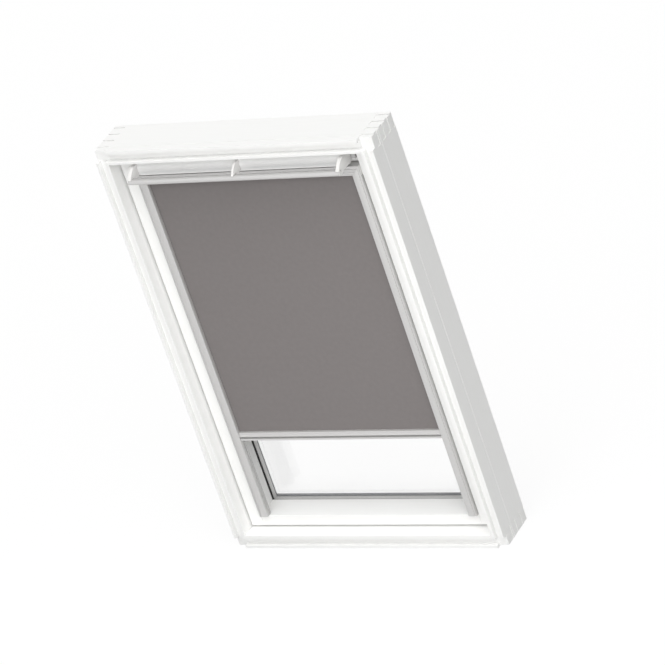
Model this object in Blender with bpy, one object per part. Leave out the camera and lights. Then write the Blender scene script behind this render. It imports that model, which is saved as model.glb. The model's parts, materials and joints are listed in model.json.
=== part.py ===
"""Centre-pivot roof window with a blackout roller blind, seen from the room side.

The window stands upright on its sill: X is its width, Z its slope length, and the
room lies on the -Y side. The origin is the centre of the sill's flat underside.
Depths are measured from the room-side face of the recessed frame corners.
"""

import math

import bmesh
import bpy

# Overall size of the frame
frame_width = 0.780
frame_height = 1.180
frame_depth = 0.115

# Gap between pieces that touch, and between a pin and its bore
clearance = 0.0003

# Frame members and the two lips that hold the wall lining
side_width = 0.035
head_height = 0.037
sill_height = 0.038
lip_projection = 0.013
side_outer_lip = 0.008
side_inner_lip = 0.010
head_outer_lip = 0.009
head_inner_lip = 0.007
sill_outer_lip = 0.009
sill_inner_lip = 0.012
side_lip_top_stop = 0.030
side_lip_bottom_stop = 0.031
sill_lip_end_stop = 0.025

# Box joints at the frame corners
finger_width = 0.015
finger_offset = -0.0005
finger_setback = 0.0014

# Shallow groove along the outer side of the frame
flashing_groove_depth = 0.0345
flashing_groove_width = 0.003
flashing_groove_cut = 0.0015

# Sash
sash_face_depth = 0.027
sash_reveal = 0.071
sash_side_gap = 0.0045
sash_end_gap = 0.006
stile_width = 0.035
bottom_rail_height = 0.030
top_rail_height = 0.045
top_rail_setback = 0.015

# Sealed double glazing
pane_thickness = 0.004
pane_cavity = 0.016
pane_edge_cover = 0.012
pane_edge_play = 0.001
gasket_thickness = 0.0012
gasket_show = 0.002
spacer_show = 0.0026
# Beside the bottom rail both lie below its face, so that water can drain
gasket_sink = 0.0005
spacer_sink = 0.0035
spacer_width = 0.007

# Weather seal in the gap between frame and sash
seal_depth = 0.084
seal_width = 0.008
seal_thickness = 0.0025

# Outside covers
cover_thickness = 0.0015
cover_fold = 0.006
cover_inset = 0.005
sash_cover_overlap = 0.008
sash_cover_bead = 0.002

# Centre pivot
pivot_depth = 0.071
pivot_plate_length = 0.100
pivot_plate_width = 0.040
pivot_plate_thickness = 0.0025
pivot_pin_radius = 0.006
pivot_pin_reach = 0.010

# Ventilation flap and control bar, which turn together
flap_axis_gap = 0.009
flap_axis_drop = 0.022
flap_radius = 0.032
flap_thickness = 0.0025
flap_top_angle = math.radians(36)
flap_bottom_angle = math.radians(-27)
arm_side_gap = 0.0175
end_arm_width = 0.010
arm_hub_gap = 0.001
arm_bow = 0.005
middle_arm_width = 0.006
control_bar_reach = 0.0765
control_bar_drop = 0.0097
control_bar_radius = 0.006
control_bar_width = 0.0185
control_bar_wall = 0.0015
bar_cap_thickness = 0.0015
flap_pin_radius = 0.0025
bracket_size = 0.014
bracket_width = 0.012
bracket_gap = 0.002
filter_thickness = 0.008
filter_height = 0.020
filter_drop = 0.005
filter_end_gap = 0.028

# Lock bolt at the top of the sash, and its striker in the frame head
lock_depth = 0.063
lock_bolt_width = 0.010
lock_bolt_thickness = 0.008
lock_bolt_length = 0.018
lock_case_wall = 0.0067
lock_case_thickness = 0.0037
lock_case_height = 0.042
striker_width = 0.040
striker_depth = 0.020
striker_thickness = 0.0015
striker_pocket = 0.010
sill_relief_depth = 0.006

# Barrel bolt that holds the turned sash for cleaning
barrel_radius = 0.003
barrel_length = 0.026
barrel_drop = 0.012
barrel_travel = 0.009
barrel_knob_radius = 0.0025
barrel_knob_inset = 0.007
bush_radius = 0.0065
bush_bore_radius = 0.0045
bush_length = 0.0105

# Roller blind
blind_front_depth = 0.019
fabric_depth = 0.0315
fabric_thickness = 0.0004
rail_face_width = 0.0252
rail_back_depth = 0.038
rail_slot_width = 0.0025
rail_slot_reach = 0.012
rail_ridge_width = 0.0037
rail_ridge_groove = 0.0032
rail_groove_sink = 0.002
rail_edge_round = 0.0012
rail_wall = 0.0015
casing_height = 0.0266
casing_front_thickness = 0.0025
casing_wall = 0.001
casing_head_gap = 0.0014
casing_back_lip = 0.007
casing_rib_depth = 0.0008
casing_rib_count = 6
casing_clip_place = 0.227
casing_clip_width = 0.024
casing_clip_inset = 0.006
end_plate_thickness = 0.0019
tube_radius = 0.008
tube_wall = 0.001
cloth_on_tube = 0.0012
all_cloth_on_tube = 0.0043
roller_end_play = 0.009
plug_length = 0.012
roller_pin_radius = 0.0025
spring_coil_radius = 0.0042
spring_wire_radius = 0.0005
spring_pitch = 0.008
spring_turns = 14
blind_bar_top = 0.328
blind_bar_back = 0.0025
blind_bar_wall = 0.0015
glide_reach = 0.009
glide_inset = 0.002

# Room-side profile of the bottom bar: depth behind the rail's face, and drop below the bar's top
blind_bar_profile = [
    (0.0060, 0.0),
    (0.0050, 0.0010),
    (0.0050, 0.0070),
    (0.0025, 0.0085),
    (0.0025, 0.0110),
    (0.0065, 0.0125),
    (0.0065, 0.0180),
    (0.0035, 0.0190),
    (0.0030, 0.0220),
]

# Paint and finish colours, as sRGB hex
white_paint = "FAFAF8"
aluminium = "C6C5C4"
cloth_grey = "85807E"
rubber_black = "2E2C2B"
plastic_white = "F1F0EE"
steel_grey = "9C9A98"
glass_tint = "EAF2F0"
foam_grey = "6E6C6A"

parts = bpy.data.collections.new("roof_window_with_blind")
cutters = bpy.data.collections.new("cutters")


def depth(distance):
    """World Y of a plane this far behind the recessed room-side plane of the frame."""
    return distance - frame_depth / 2


def linear(channel):
    """One sRGB channel, 0 to 1, as the linear value that a shader reads."""
    if channel <= 0.04045:
        return channel / 12.92
    return ((channel + 0.055) / 1.055) ** 2.4


def material(name, colour, roughness, metallic=0.0, alpha=1.0):
    """A Principled material of its own for one piece."""
    result = bpy.data.materials.new(name)
    result.use_nodes = True
    shader = result.node_tree.nodes["Principled BSDF"]
    channels = [linear(int(colour[i : i + 2], 16) / 255) for i in (0, 2, 4)]
    shader.inputs["Base Color"].default_value = (*channels, 1.0)
    shader.inputs["Roughness"].default_value = roughness
    shader.inputs["Metallic"].default_value = metallic
    shader.inputs["Alpha"].default_value = alpha
    return result


finishes = {
    "white": (white_paint, 0.35, 0.0),
    "aluminium": (aluminium, 0.35, 0.9),
    "cloth": (cloth_grey, 0.85, 0.0),
    "rubber": (rubber_black, 0.7, 0.0),
    "plastic": (plastic_white, 0.4, 0.0),
    "steel": (steel_grey, 0.3, 0.9),
    "glass": (glass_tint, 0.02, 0.0, 0.3),
    "foam": (foam_grey, 0.95, 0.0),
}


def piece(name, mesh, finish, origin=(0.0, 0.0, 0.0)):
    """One named piece: its mesh is in world place, and its origin is set on the given point."""
    for vertex in mesh.vertices:
        vertex.co.x -= origin[0]
        vertex.co.y -= origin[1]
        vertex.co.z -= origin[2]
    mesh.name = name
    mesh.materials.append(material(name, *finishes[finish]))
    result = bpy.data.objects.new(name, mesh)
    result.location = origin
    parts.objects.link(result)
    return result


def box(low, high):
    """Mesh of a block between two corners."""
    shape = bmesh.new()
    bmesh.ops.create_cube(shape, size=1.0)
    for vertex in shape.verts:
        for axis in range(3):
            middle = (low[axis] + high[axis]) / 2
            vertex.co[axis] = middle + vertex.co[axis] * abs(high[axis] - low[axis])
    mesh = bpy.data.meshes.new("block")
    shape.to_mesh(mesh)
    shape.free()
    return mesh


def prism(outlines, along, start, end):
    """Mesh of a flat outline, with any holes, carried along one axis.

    An outline lists (Y, Z) points for X, (X, Z) points for Y and (X, Y) points for Z.
    """
    curve = bpy.data.curves.new("outline", "CURVE")
    curve.dimensions = "2D"
    curve.fill_mode = "BOTH"
    curve.extrude = abs(end - start) / 2
    for outline in outlines:
        spline = curve.splines.new("POLY")
        spline.points.add(len(outline) - 1)
        for point, (first, second) in zip(spline.points, outline):
            point.co = (first, second, 0.0, 1.0)
        spline.use_cyclic_u = True
    holder = bpy.data.objects.new("outline", curve)
    mesh = bpy.data.meshes.new_from_object(holder)
    bpy.data.objects.remove(holder)
    bpy.data.curves.remove(curve)
    middle = (start + end) / 2
    shape = bmesh.new()
    shape.from_mesh(mesh)
    bmesh.ops.remove_doubles(shape, verts=shape.verts, dist=0.00001)
    for vertex in shape.verts:
        first, second, offset = vertex.co
        if along == "X":
            vertex.co = (middle + offset, first, second)
        elif along == "Y":
            vertex.co = (first, middle + offset, second)
        else:
            vertex.co = (first, second, middle + offset)
    for face in shape.faces:
        face.smooth = False
    shape.normal_update()
    bmesh.ops.recalc_face_normals(shape, faces=shape.faces)
    shape.to_mesh(mesh)
    shape.free()
    return mesh


def arc(centre, radius, first, last, steps):
    """Points on a circle from one angle to another, in radians."""
    angles = [first + (last - first) * i / steps for i in range(steps + 1)]
    return [(centre[0] + radius * math.cos(a), centre[1] + radius * math.sin(a)) for a in angles]


def circle(centre, radius, sides=16):
    """Points round a full circle."""
    return arc(centre, radius, 0.0, 2 * math.pi * (sides - 1) / sides, sides - 1)


def rectangle(low, high):
    """Corner points of a rectangle."""
    return [(low[0], low[1]), (high[0], low[1]), (high[0], high[1]), (low[0], high[1])]


def coil(centre, radius, wire, start, pitch, turns):
    """Mesh of one unbroken helical wire along X, from its start towards lower X."""
    curve = bpy.data.curves.new("wire", "CURVE")
    curve.dimensions = "3D"
    curve.bevel_depth = wire
    curve.bevel_resolution = 1
    curve.use_fill_caps = True
    steps = 8
    spline = curve.splines.new("POLY")
    spline.points.add(turns * steps)
    for number, point in enumerate(spline.points):
        angle = 2 * math.pi * number / steps
        x = start - pitch * number / steps
        point.co = (x, centre[0] + radius * math.cos(angle), centre[1] + radius * math.sin(angle), 1.0)
    holder = bpy.data.objects.new("wire", curve)
    mesh = bpy.data.meshes.new_from_object(holder)
    bpy.data.objects.remove(holder)
    bpy.data.curves.remove(curve)
    shape = bmesh.new()
    shape.from_mesh(mesh)
    bmesh.ops.remove_doubles(shape, verts=shape.verts, dist=0.00001)
    bmesh.ops.recalc_face_normals(shape, faces=shape.faces)
    shape.to_mesh(mesh)
    shape.free()
    return mesh


def change(target, mesh, operation):
    """Cuts a mesh out of a piece, or joins it on, with an exact Boolean."""
    tool = bpy.data.objects.new(target.name + "_tool", mesh)
    tool.hide_render = True
    tool.display_type = "WIRE"
    cutters.objects.link(tool)
    modifier = target.modifiers.new(operation.lower(), "BOOLEAN")
    modifier.operation = operation
    modifier.solver = "EXACT"
    modifier.object = tool


def cut(target, mesh):
    change(target, mesh, "DIFFERENCE")


def join(target, mesh):
    change(target, mesh, "UNION")


def smooth(target):
    """Smooth shading on a round piece, with its corners kept sharp."""
    target.data.shade_smooth()
    target.data.set_sharp_from_angle(angle=math.radians(35))


# Lines that several pieces share
half_width = frame_width / 2
inner_x = half_width - side_width
head_z = frame_height - head_height
front = depth(0.0)
lip_front = depth(-lip_projection)
back = depth(frame_depth)
beyond = 0.002

sash_x = inner_x - sash_side_gap
reveal_x = sash_x - stile_width
sash_low = sill_height + sash_end_gap
sash_high = head_z - sash_end_gap
reveal_low = sash_low + bottom_rail_height
reveal_high = sash_high - top_rail_height
sash_front = depth(sash_face_depth)
glass_seat = depth(sash_face_depth + sash_reveal)

gasket_front = glass_seat + clearance
pane_front = gasket_front + gasket_thickness + clearance
cavity_front = pane_front + pane_thickness
cavity_back = cavity_front + pane_cavity
pane_back = cavity_back + pane_thickness
pane_x = reveal_x + pane_edge_cover
pane_low = reveal_low - pane_edge_cover
pane_high = reveal_high + pane_edge_cover
rebate_x = pane_x + pane_edge_play
rebate_low = pane_low - pane_edge_play
rebate_high = pane_high + pane_edge_play

pivot_z = frame_height / 2
pivot_y = depth(pivot_depth)
barrel_z = sash_high - barrel_drop

top_rail_front = sash_front + top_rail_setback
flap_y = top_rail_front - flap_axis_gap
flap_z = sash_high - flap_axis_drop
arm_hub_radius = flap_axis_gap - arm_hub_gap
arm_outer_x = reveal_x - arm_side_gap
arm_inner_x = arm_outer_x - end_arm_width

bar_nose_y = flap_y - control_bar_reach + control_bar_radius
bar_nose_z = flap_z - control_bar_drop
bar_rear_y = flap_y - control_bar_reach + control_bar_width


def finger_spans(first, margin):
    """Depth ranges of the box-joint places, every second one from the first."""
    spans = []
    start = finger_offset + first * finger_width
    while start < frame_depth:
        spans.append((depth(start) - margin, depth(start + finger_width) + margin))
        start += 2 * finger_width
    return spans


def frame_side(name, side):
    """A side member: lips on its room face, box-joint fingers at both ends."""
    outer = side * half_width
    inner = side * inner_x
    outline = [
        (inner, back),
        (outer, back),
        (outer, lip_front),
        (outer - side * side_outer_lip, lip_front),
        (outer - side * side_outer_lip, front),
        (inner + side * side_inner_lip, front),
        (inner + side * side_inner_lip, lip_front),
        (inner, lip_front),
    ]
    tip_low = finger_setback
    tip_high = frame_height - finger_setback
    member = piece(name, prism([outline], "Z", tip_low, tip_high), "white")
    far = outer + side * beyond
    near = inner - side * beyond
    lip_low = lip_front - beyond
    lip_top = frame_height - side_lip_top_stop
    cut(member, box((near, lip_low, lip_top), (far, front, frame_height + beyond)))
    lip_split = inner + side * side_inner_lip * 1.5
    cut(member, box((lip_split, lip_low, -beyond), (far, front, side_lip_bottom_stop)))
    cut(member, box((near, lip_low, -beyond), (lip_split, front, sill_height - sill_inner_lip)))
    for start, end in finger_spans(1, clearance / 2):
        cut(member, box((near, start, head_z - clearance), (far, end, frame_height + beyond)))
        cut(member, box((near, start, -beyond), (far, end, sill_height + clearance)))
    groove = depth(flashing_groove_depth)
    groove_floor = outer - side * flashing_groove_cut
    groove_end = groove + flashing_groove_width
    cut(member, box((groove_floor, groove, -beyond), (far, groove_end, frame_height + beyond)))
    pocket = pivot_plate_thickness + clearance
    half_plate = pivot_plate_length / 2 + clearance
    plate_low = pivot_y - pivot_plate_width / 2 - clearance
    plate_high = pivot_y + pivot_plate_width / 2 + clearance
    pocket_floor = inner + side * pocket
    pocket_low = (near, plate_low, pivot_z - half_plate)
    cut(member, box(pocket_low, (pocket_floor, plate_high, pivot_z + half_plate)))
    return member


def frame_end(name, low, high, outer_lip, inner_lip, upward):
    """The head or the sill: a member whose fingers fill the spaces between the side fingers."""
    outer_z, inner_z = (high, low) if upward else (low, high)
    turn = 1 if upward else -1
    outline = [
        (back, inner_z),
        (back, outer_z),
        (lip_front, outer_z),
        (lip_front, outer_z - turn * outer_lip),
        (front, outer_z - turn * outer_lip),
        (front, inner_z + turn * inner_lip),
        (lip_front, inner_z + turn * inner_lip),
        (lip_front, inner_z),
    ]
    reach = half_width - finger_setback
    member = piece(name, prism([outline], "X", -reach, reach), "white")
    for side in (-1, 1):
        shoulder = side * (inner_x - clearance)
        far = side * (half_width + beyond)
        for start, end in finger_spans(0, clearance / 2):
            slot_start = max(start, front - clearance)
            cut(member, box((shoulder, slot_start, low - beyond), (far, end, high + beyond)))
        lip_low = lip_front - beyond
        lip_back = front - clearance / 2
        lip_end = shoulder if upward else side * (half_width - sill_lip_end_stop)
        lip_step = (low + high) / 2
        cut(member, box((lip_end, lip_low, low - beyond), (far, lip_back, lip_step)))
        cut(member, box((shoulder, lip_low, lip_step), (far, lip_back, high + beyond)))
    return member


def make_frame():
    """The outer frame with its pivot plates, seal, bushes and outside covers."""
    frame_side("frame_side_left", -1)
    right = frame_side("frame_side_right", 1)
    head = frame_end("frame_head", head_z, frame_height, head_outer_lip, head_inner_lip, True)
    sill = frame_end("frame_sill", 0.0, sill_height, sill_outer_lip, sill_inner_lip, False)
    make_frame_pivot("frame_pivot_left", -1)
    make_frame_pivot("frame_pivot_right", 1)

    low = sill_height + clearance
    high = head_z - clearance
    inset = seal_thickness - clearance
    reach = inner_x - clearance
    seal_outer = rectangle((-reach, low), (reach, high))
    seal_inner = rectangle((inset - reach, low + inset), (reach - inset, high - inset))
    seal = prism([seal_outer, seal_inner], "Y", depth(seal_depth), depth(seal_depth + seal_width))
    piece("frame_seal", seal, "rubber")
    make_bolt_bushes(right)
    make_striker(head)
    cut_sill_relief(sill)
    make_frame_covers()


def make_frame_pivot(name, side):
    """A plate let into a frame side, with the pin that the sash turns on."""
    near = side * (inner_x + clearance)
    far = side * (inner_x + pivot_plate_thickness)
    low = (near, pivot_y - pivot_plate_width / 2, pivot_z - pivot_plate_length / 2)
    high = (far, pivot_y + pivot_plate_width / 2, pivot_z + pivot_plate_length / 2)
    plate = piece(name, box(low, high), "steel")
    pin = circle((pivot_y, pivot_z), pivot_pin_radius, 24)
    pin_start = side * (inner_x + pivot_plate_thickness / 2)
    join(plate, prism([pin], "X", pin_start, side * (inner_x - pivot_pin_reach)))


def make_bolt_bushes(right):
    """Two bushes in the right side: the barrel bolt enters the lower one when the sash is turned."""
    for name, height in (("bolt_bush_upper", barrel_z), ("bolt_bush_lower", 2 * pivot_z - barrel_z)):
        centre = (pivot_y, height)
        near = inner_x + clearance
        rings = [circle(centre, bush_radius, 20), circle(centre, bush_bore_radius, 20)]
        bush = piece(name, prism(rings, "X", near, near + bush_length), "plastic")
        smooth(bush)
        hole = circle(centre, bush_radius + clearance, 20)
        cut(right, prism([hole], "X", inner_x - beyond, near + bush_length + clearance))


def make_striker(head):
    """The plate under the head that takes the lock bolt, over a pocket in the timber."""
    pocket_x = lock_bolt_width / 2 + clearance * 4
    pocket_y = lock_bolt_thickness / 2 + clearance * 4
    lock_y = depth(lock_depth)
    pocket_low = (-pocket_x, lock_y - pocket_y, head_z - beyond)
    cut(head, box(pocket_low, (pocket_x, lock_y + pocket_y, head_z + striker_pocket)))
    plate_outline = rectangle(
        (-striker_width / 2, lock_y - striker_depth / 2), (striker_width / 2, lock_y + striker_depth / 2)
    )
    plate_hole = rectangle((-pocket_x, lock_y - pocket_y), (pocket_x, lock_y + pocket_y))
    top = head_z - clearance
    piece("striker_plate", prism([plate_outline, plate_hole], "Z", top - striker_thickness, top), "steel")


def cut_sill_relief(sill):
    """A shallow pocket that clears the thrown lock bolt when the sash is turned half round."""
    half_x = lock_bolt_width / 2 + clearance * 4
    half_y = lock_bolt_thickness / 2 + clearance * 3
    turned_y = 2 * pivot_y - depth(lock_depth)
    low = (-half_x, turned_y - half_y, sill_height - sill_relief_depth)
    cut(sill, box(low, (half_x, turned_y + half_y, sill_height + beyond)))


def cover_outline(inner, outer, turn, fold):
    """Section of an outside frame cover: a flat strip with a fold beside the sash gap."""
    base = back + clearance
    return [
        (inner, base),
        (outer, base),
        (outer, base + cover_thickness),
        (inner + turn * cover_thickness, base + cover_thickness),
        (inner + turn * cover_thickness, base + fold),
        (inner, base + fold),
    ]


def make_frame_covers():
    """Aluminium strips on the outside face of the frame."""
    for side, name in ((-1, "frame_cover_left"), (1, "frame_cover_right")):
        inner = side * (inner_x + clearance)
        outer = side * (half_width - cover_inset)
        outline = cover_outline(inner, outer, side, cover_fold)
        piece(name, prism([outline], "Z", cover_inset, frame_height - cover_inset), "aluminium")
    reach = inner_x - clearance
    low = cover_outline(sill_height, cover_inset, -1, cover_fold)
    high = cover_outline(head_z, frame_height - cover_inset, 1, cover_fold)
    for name, outline in (("frame_cover_bottom", low), ("frame_cover_top", high)):
        turned = [(y, z) for z, y in outline]
        piece(name, prism([turned], "X", -reach, reach), "aluminium")


def sash_stile(name, side):
    """A sash stile: an L section whose rebate holds the glass."""
    outer = side * sash_x
    outline = [
        (side * reveal_x, sash_front),
        (outer, sash_front),
        (outer, pane_back),
        (side * rebate_x, pane_back),
        (side * rebate_x, glass_seat),
        (side * reveal_x, glass_seat),
    ]
    stile = piece(name, prism([outline], "Z", sash_low, sash_high), "white")
    pocket = pivot_plate_thickness + clearance
    half_plate = pivot_plate_length / 2 + clearance
    low = (outer - side * pocket, pivot_y - pivot_plate_width / 2 - clearance, pivot_z - half_plate)
    high = (outer + side * beyond, pivot_y + pivot_plate_width / 2 + clearance, pivot_z + half_plate)
    cut(stile, box(low, high))
    bore = circle((pivot_y, pivot_z), pivot_pin_radius + clearance, 24)
    bore_end = side * (inner_x - pivot_pin_reach - clearance)
    cut(stile, prism([bore], "X", bore_end, outer + side * beyond))
    return stile


def make_sash():
    """The turning sash with its glass, pivot plates, lock case and outside covers."""
    sash_stile("sash_stile_left", -1)
    right = sash_stile("sash_stile_right", 1)
    reach = reveal_x - clearance
    bottom = [
        (sash_front, sash_low),
        (sash_front, reveal_low),
        (glass_seat, reveal_low),
        (glass_seat, rebate_low),
        (pane_back, rebate_low),
        (pane_back, sash_low),
    ]
    piece("sash_bottom_rail", prism([bottom], "X", -reach, reach), "white")
    top = [
        (top_rail_front, reveal_high),
        (top_rail_front, sash_high),
        (pane_back, sash_high),
        (pane_back, rebate_high),
        (glass_seat, rebate_high),
        (glass_seat, reveal_high),
    ]
    top_rail = piece("sash_top_rail", prism([top], "X", -reach, reach), "white")

    for side, name in ((-1, "sash_pivot_left"), (1, "sash_pivot_right")):
        rim = rectangle(
            (pivot_y - pivot_plate_width / 2, pivot_z - pivot_plate_length / 2),
            (pivot_y + pivot_plate_width / 2, pivot_z + pivot_plate_length / 2),
        )
        bore = circle((pivot_y, pivot_z), pivot_pin_radius + clearance, 24)
        outer = side * (sash_x - clearance)
        inner = side * (sash_x - pivot_plate_thickness)
        piece(name, prism([rim, bore], "X", inner, outer), "steel")

    make_glazing()
    make_sash_covers()
    make_lock(top_rail)
    cut_barrel_seat(right)


def ring(hole, rim, start, end):
    """Mesh of a ring in the plane of the glass. Hole and rim are each (half width, low, high)."""
    loops = [rectangle((-x, low), (x, high)) for x, low, high in (rim, hole)]
    return prism(loops, "Y", start, end)


def make_glazing():
    """Two panes, their spacer and the gasket they rest on."""
    hole = (reveal_x - gasket_show, reveal_low - gasket_sink, reveal_high - gasket_show)
    rim = (pane_x, pane_low, pane_high)
    gasket = ring(hole, rim, gasket_front, gasket_front + gasket_thickness)
    piece("glazing_gasket", gasket, "rubber")
    inner_pane = ("glass_pane_inner", pane_front, cavity_front)
    outer_pane = ("glass_pane_outer", cavity_back, pane_back - clearance)
    for name, start, end in (inner_pane, outer_pane):
        piece(name, box((-pane_x, start, pane_low), (pane_x, end, pane_high)), "glass")
    half_x, low, high = reveal_x - spacer_show, reveal_low - spacer_sink, reveal_high - spacer_show
    rim = (half_x + spacer_width, low - spacer_width, high + spacer_width)
    spacer = ring((half_x, low, high), rim, cavity_front + clearance, cavity_back - clearance)
    piece("glass_spacer", spacer, "aluminium")


def make_sash_covers():
    """Aluminium strips that hold the glass in from outside."""
    base = pane_back + clearance
    inner_edge = pane_x - sash_cover_overlap - pane_edge_cover / 2
    for side, name in ((-1, "sash_cover_left"), (1, "sash_cover_right")):
        outline = [
            (side * inner_edge, base),
            (side * sash_x, base),
            (side * sash_x, base + cover_thickness + sash_cover_bead),
            (side * (sash_x - cover_thickness * 2), base + cover_thickness + sash_cover_bead),
            (side * (sash_x - cover_thickness * 2), base + cover_thickness),
            (side * inner_edge, base + cover_thickness),
        ]
        piece(name, prism([outline], "Z", sash_low, sash_high), "aluminium")
    reach = inner_edge - clearance
    low_edge = pane_low + sash_cover_overlap + pane_edge_cover / 2
    high_edge = pane_high - sash_cover_overlap - pane_edge_cover / 2
    spans = (("sash_cover_bottom", low_edge, sash_low, -1), ("sash_cover_top", high_edge, sash_high, 1))
    for name, inner, outer, turn in spans:
        step = outer - turn * cover_thickness * 2
        outline = [
            (base, inner),
            (base, outer),
            (base + cover_thickness + sash_cover_bead, outer),
            (base + cover_thickness + sash_cover_bead, step),
            (base + cover_thickness, step),
            (base + cover_thickness, inner),
        ]
        piece(name, prism([outline], "X", -reach, reach), "aluminium")


def make_lock(top_rail):
    """The lock case in the top rail, with a through bore for the bolt."""
    lock_y = depth(lock_depth)
    half_x = lock_bolt_width / 2 + lock_case_wall
    half_y = lock_bolt_thickness / 2 + lock_case_thickness
    top = sash_high - clearance
    low = top - lock_case_height
    bore = rectangle(
        (-lock_bolt_width / 2 - clearance, lock_y - lock_bolt_thickness / 2 - clearance),
        (lock_bolt_width / 2 + clearance, lock_y + lock_bolt_thickness / 2 + clearance),
    )
    case = rectangle((-half_x, lock_y - half_y), (half_x, lock_y + half_y))
    piece("lock_case", prism([case, bore], "Z", low, top), "steel")
    play_x = half_x + clearance
    play_y = half_y + clearance
    mortise_low = (-play_x, lock_y - play_y, low - clearance)
    cut(top_rail, box(mortise_low, (play_x, lock_y + play_y, sash_high + beyond)))
    bolt_top = sash_high - clearance * 2
    bolt = box(
        (-lock_bolt_width / 2, lock_y - lock_bolt_thickness / 2, bolt_top - lock_bolt_length),
        (lock_bolt_width / 2, lock_y + lock_bolt_thickness / 2, bolt_top),
    )
    piece("lock_bolt", bolt, "steel", (0.0, lock_y, bolt_top))


def cut_barrel_seat(stile):
    """The barrel bolt and its bore and knob slot in the right stile."""
    end = sash_x - clearance * 3
    start = end - barrel_length
    knob_x = start + barrel_knob_inset
    rod = circle((pivot_y, barrel_z), barrel_radius, 16)
    bolt = piece("barrel_bolt", prism([rod], "X", start, end), "steel", (start, pivot_y, barrel_z))
    knob = circle((knob_x, pivot_y), barrel_knob_radius, 16)
    join(bolt, prism([knob], "Z", barrel_z, sash_high - clearance * 2))
    bore = circle((pivot_y, barrel_z), barrel_radius + clearance, 16)
    cut(stile, prism([bore], "X", start - clearance, sash_x + beyond))
    slot_half = barrel_knob_radius + clearance
    slot_end = knob_x + slot_half + barrel_travel
    slot_low = (knob_x - slot_half, pivot_y - slot_half, barrel_z)
    cut(stile, box(slot_low, (slot_end, pivot_y + slot_half, sash_high + beyond)))


def flap_point(radius, angle):
    """A point round the flap's axis, in (Y, Z), with the angle measured up from the room side."""
    return (flap_y - radius * math.cos(angle), flap_z + radius * math.sin(angle))


def bar_outline():
    """Section of the control bar: a round nose on a flat bar."""
    nose = arc((bar_nose_y, bar_nose_z), control_bar_radius, math.pi / 2, math.pi * 3 / 2, 10)
    rear_low = bar_nose_z - control_bar_radius * 0.6
    return [*nose, (bar_rear_y, rear_low), (bar_rear_y, bar_nose_z + control_bar_radius)]


def bar_hollow():
    """The hollow that runs through the control bar, in (Y, Z)."""
    low = bar_nose_z - control_bar_radius * 0.6 + control_bar_wall
    high = bar_nose_z + control_bar_radius - control_bar_wall
    front_wall = bar_nose_y - control_bar_radius / 2
    return rectangle((front_wall, low), (bar_rear_y - control_bar_wall, high))


def arm_outline():
    """Section of an arm from above the flap to the back of the bar, in (Y, Z)."""
    bar_top = bar_nose_z + control_bar_radius + clearance
    start_y, start_z = flap_point(flap_radius + clearance * 1.5, flap_top_angle - math.radians(2))
    end_y = bar_nose_y - control_bar_radius * 0.65
    points = []
    steps = 9
    for number in range(steps + 1):
        share = number / steps
        bow = math.sin(share * math.pi) * arm_bow
        y = start_y + (end_y - start_y) * share
        z = start_z + (bar_top - start_z) * share ** 1.35
        points.append((y - bow / 4, z + bow))
    rear_y = bar_rear_y + clearance
    low = bar_nose_z - control_bar_radius / 2
    points.append((rear_y, bar_top))
    points.append((rear_y, low))
    points.append((rear_y + control_bar_width / 2, low + control_bar_radius / 3))
    return points


def make_flap():
    """The ventilation flap, its control bar, the arms between them and the pivot brackets."""
    axis = (0.0, flap_y, flap_z)
    steps = 10
    step = (flap_bottom_angle - flap_top_angle) / steps
    angles = [flap_top_angle + step * number for number in range(steps + 1)]
    outside = [flap_point(flap_radius, angle) for angle in angles]
    inside = [flap_point(flap_radius - flap_thickness, angle) for angle in reversed(angles)]
    reach = arm_inner_x - clearance
    smooth(piece("vent_flap", prism([outside + inside], "X", -reach, reach), "white", axis))

    bar_reach = arm_outer_x - bar_cap_thickness - clearance
    bar_mesh = prism([bar_outline(), bar_hollow()], "X", -bar_reach, bar_reach)
    smooth(piece("control_bar", bar_mesh, "aluminium", axis))

    back_angles = [math.radians(angle) for angle in (-16, -6, 4, 14, 24)]
    back_edge = [flap_point(flap_radius + clearance * 1.5, angle) for angle in back_angles]
    half = middle_arm_width / 2
    middle_arm = prism([arm_outline() + back_edge], "X", -half, half)
    piece("control_arm_middle", middle_arm, "plastic", axis)

    under = [
        flap_point(flap_radius * 0.9, math.radians(-27)),
        flap_point(flap_radius * 0.62, math.radians(-50)),
    ]
    hub = arc((flap_y, flap_z), arm_hub_radius, -math.pi / 2, math.pi * 0.45, 6)
    end_outline = arm_outline() + under + hub
    pin_hole = circle((flap_y, flap_z), flap_pin_radius + clearance, 12)
    for side, word in ((-1, "left"), (1, "right")):
        outer = side * arm_outer_x
        cap = prism([bar_outline()], "X", outer - side * bar_cap_thickness, outer)
        piece("control_bar_cap_" + word, cap, "plastic", axis)
        arm = prism([end_outline, pin_hole], "X", side * arm_inner_x, outer)
        piece("control_arm_" + word, arm, "plastic", axis)
        make_flap_bracket("flap_bracket_" + word, side)

    filter_x = arm_outer_x - filter_end_gap
    filter_back = top_rail_front - clearance
    filter_high = sash_high - filter_drop
    low = (-filter_x, filter_back - filter_thickness, filter_high - filter_height)
    piece("air_filter", box(low, (filter_x, filter_back, filter_high)), "foam")


def make_flap_bracket(name, side):
    """A bracket on the top rail whose pin carries one end arm."""
    inner = side * (arm_outer_x + bracket_gap)
    outer = side * (arm_outer_x + bracket_gap + bracket_width)
    low = (inner, flap_y - bracket_size / 2, flap_z - bracket_size / 2)
    high = (outer, top_rail_front - clearance, flap_z + bracket_size / 2)
    bracket = piece(name, box(low, high), "steel")
    pin = circle((flap_y, flap_z), flap_pin_radius, 12)
    pin_end = side * (arm_inner_x - bracket_gap / 2)
    join(bracket, prism([pin], "X", (inner + outer) / 2, pin_end))


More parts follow.
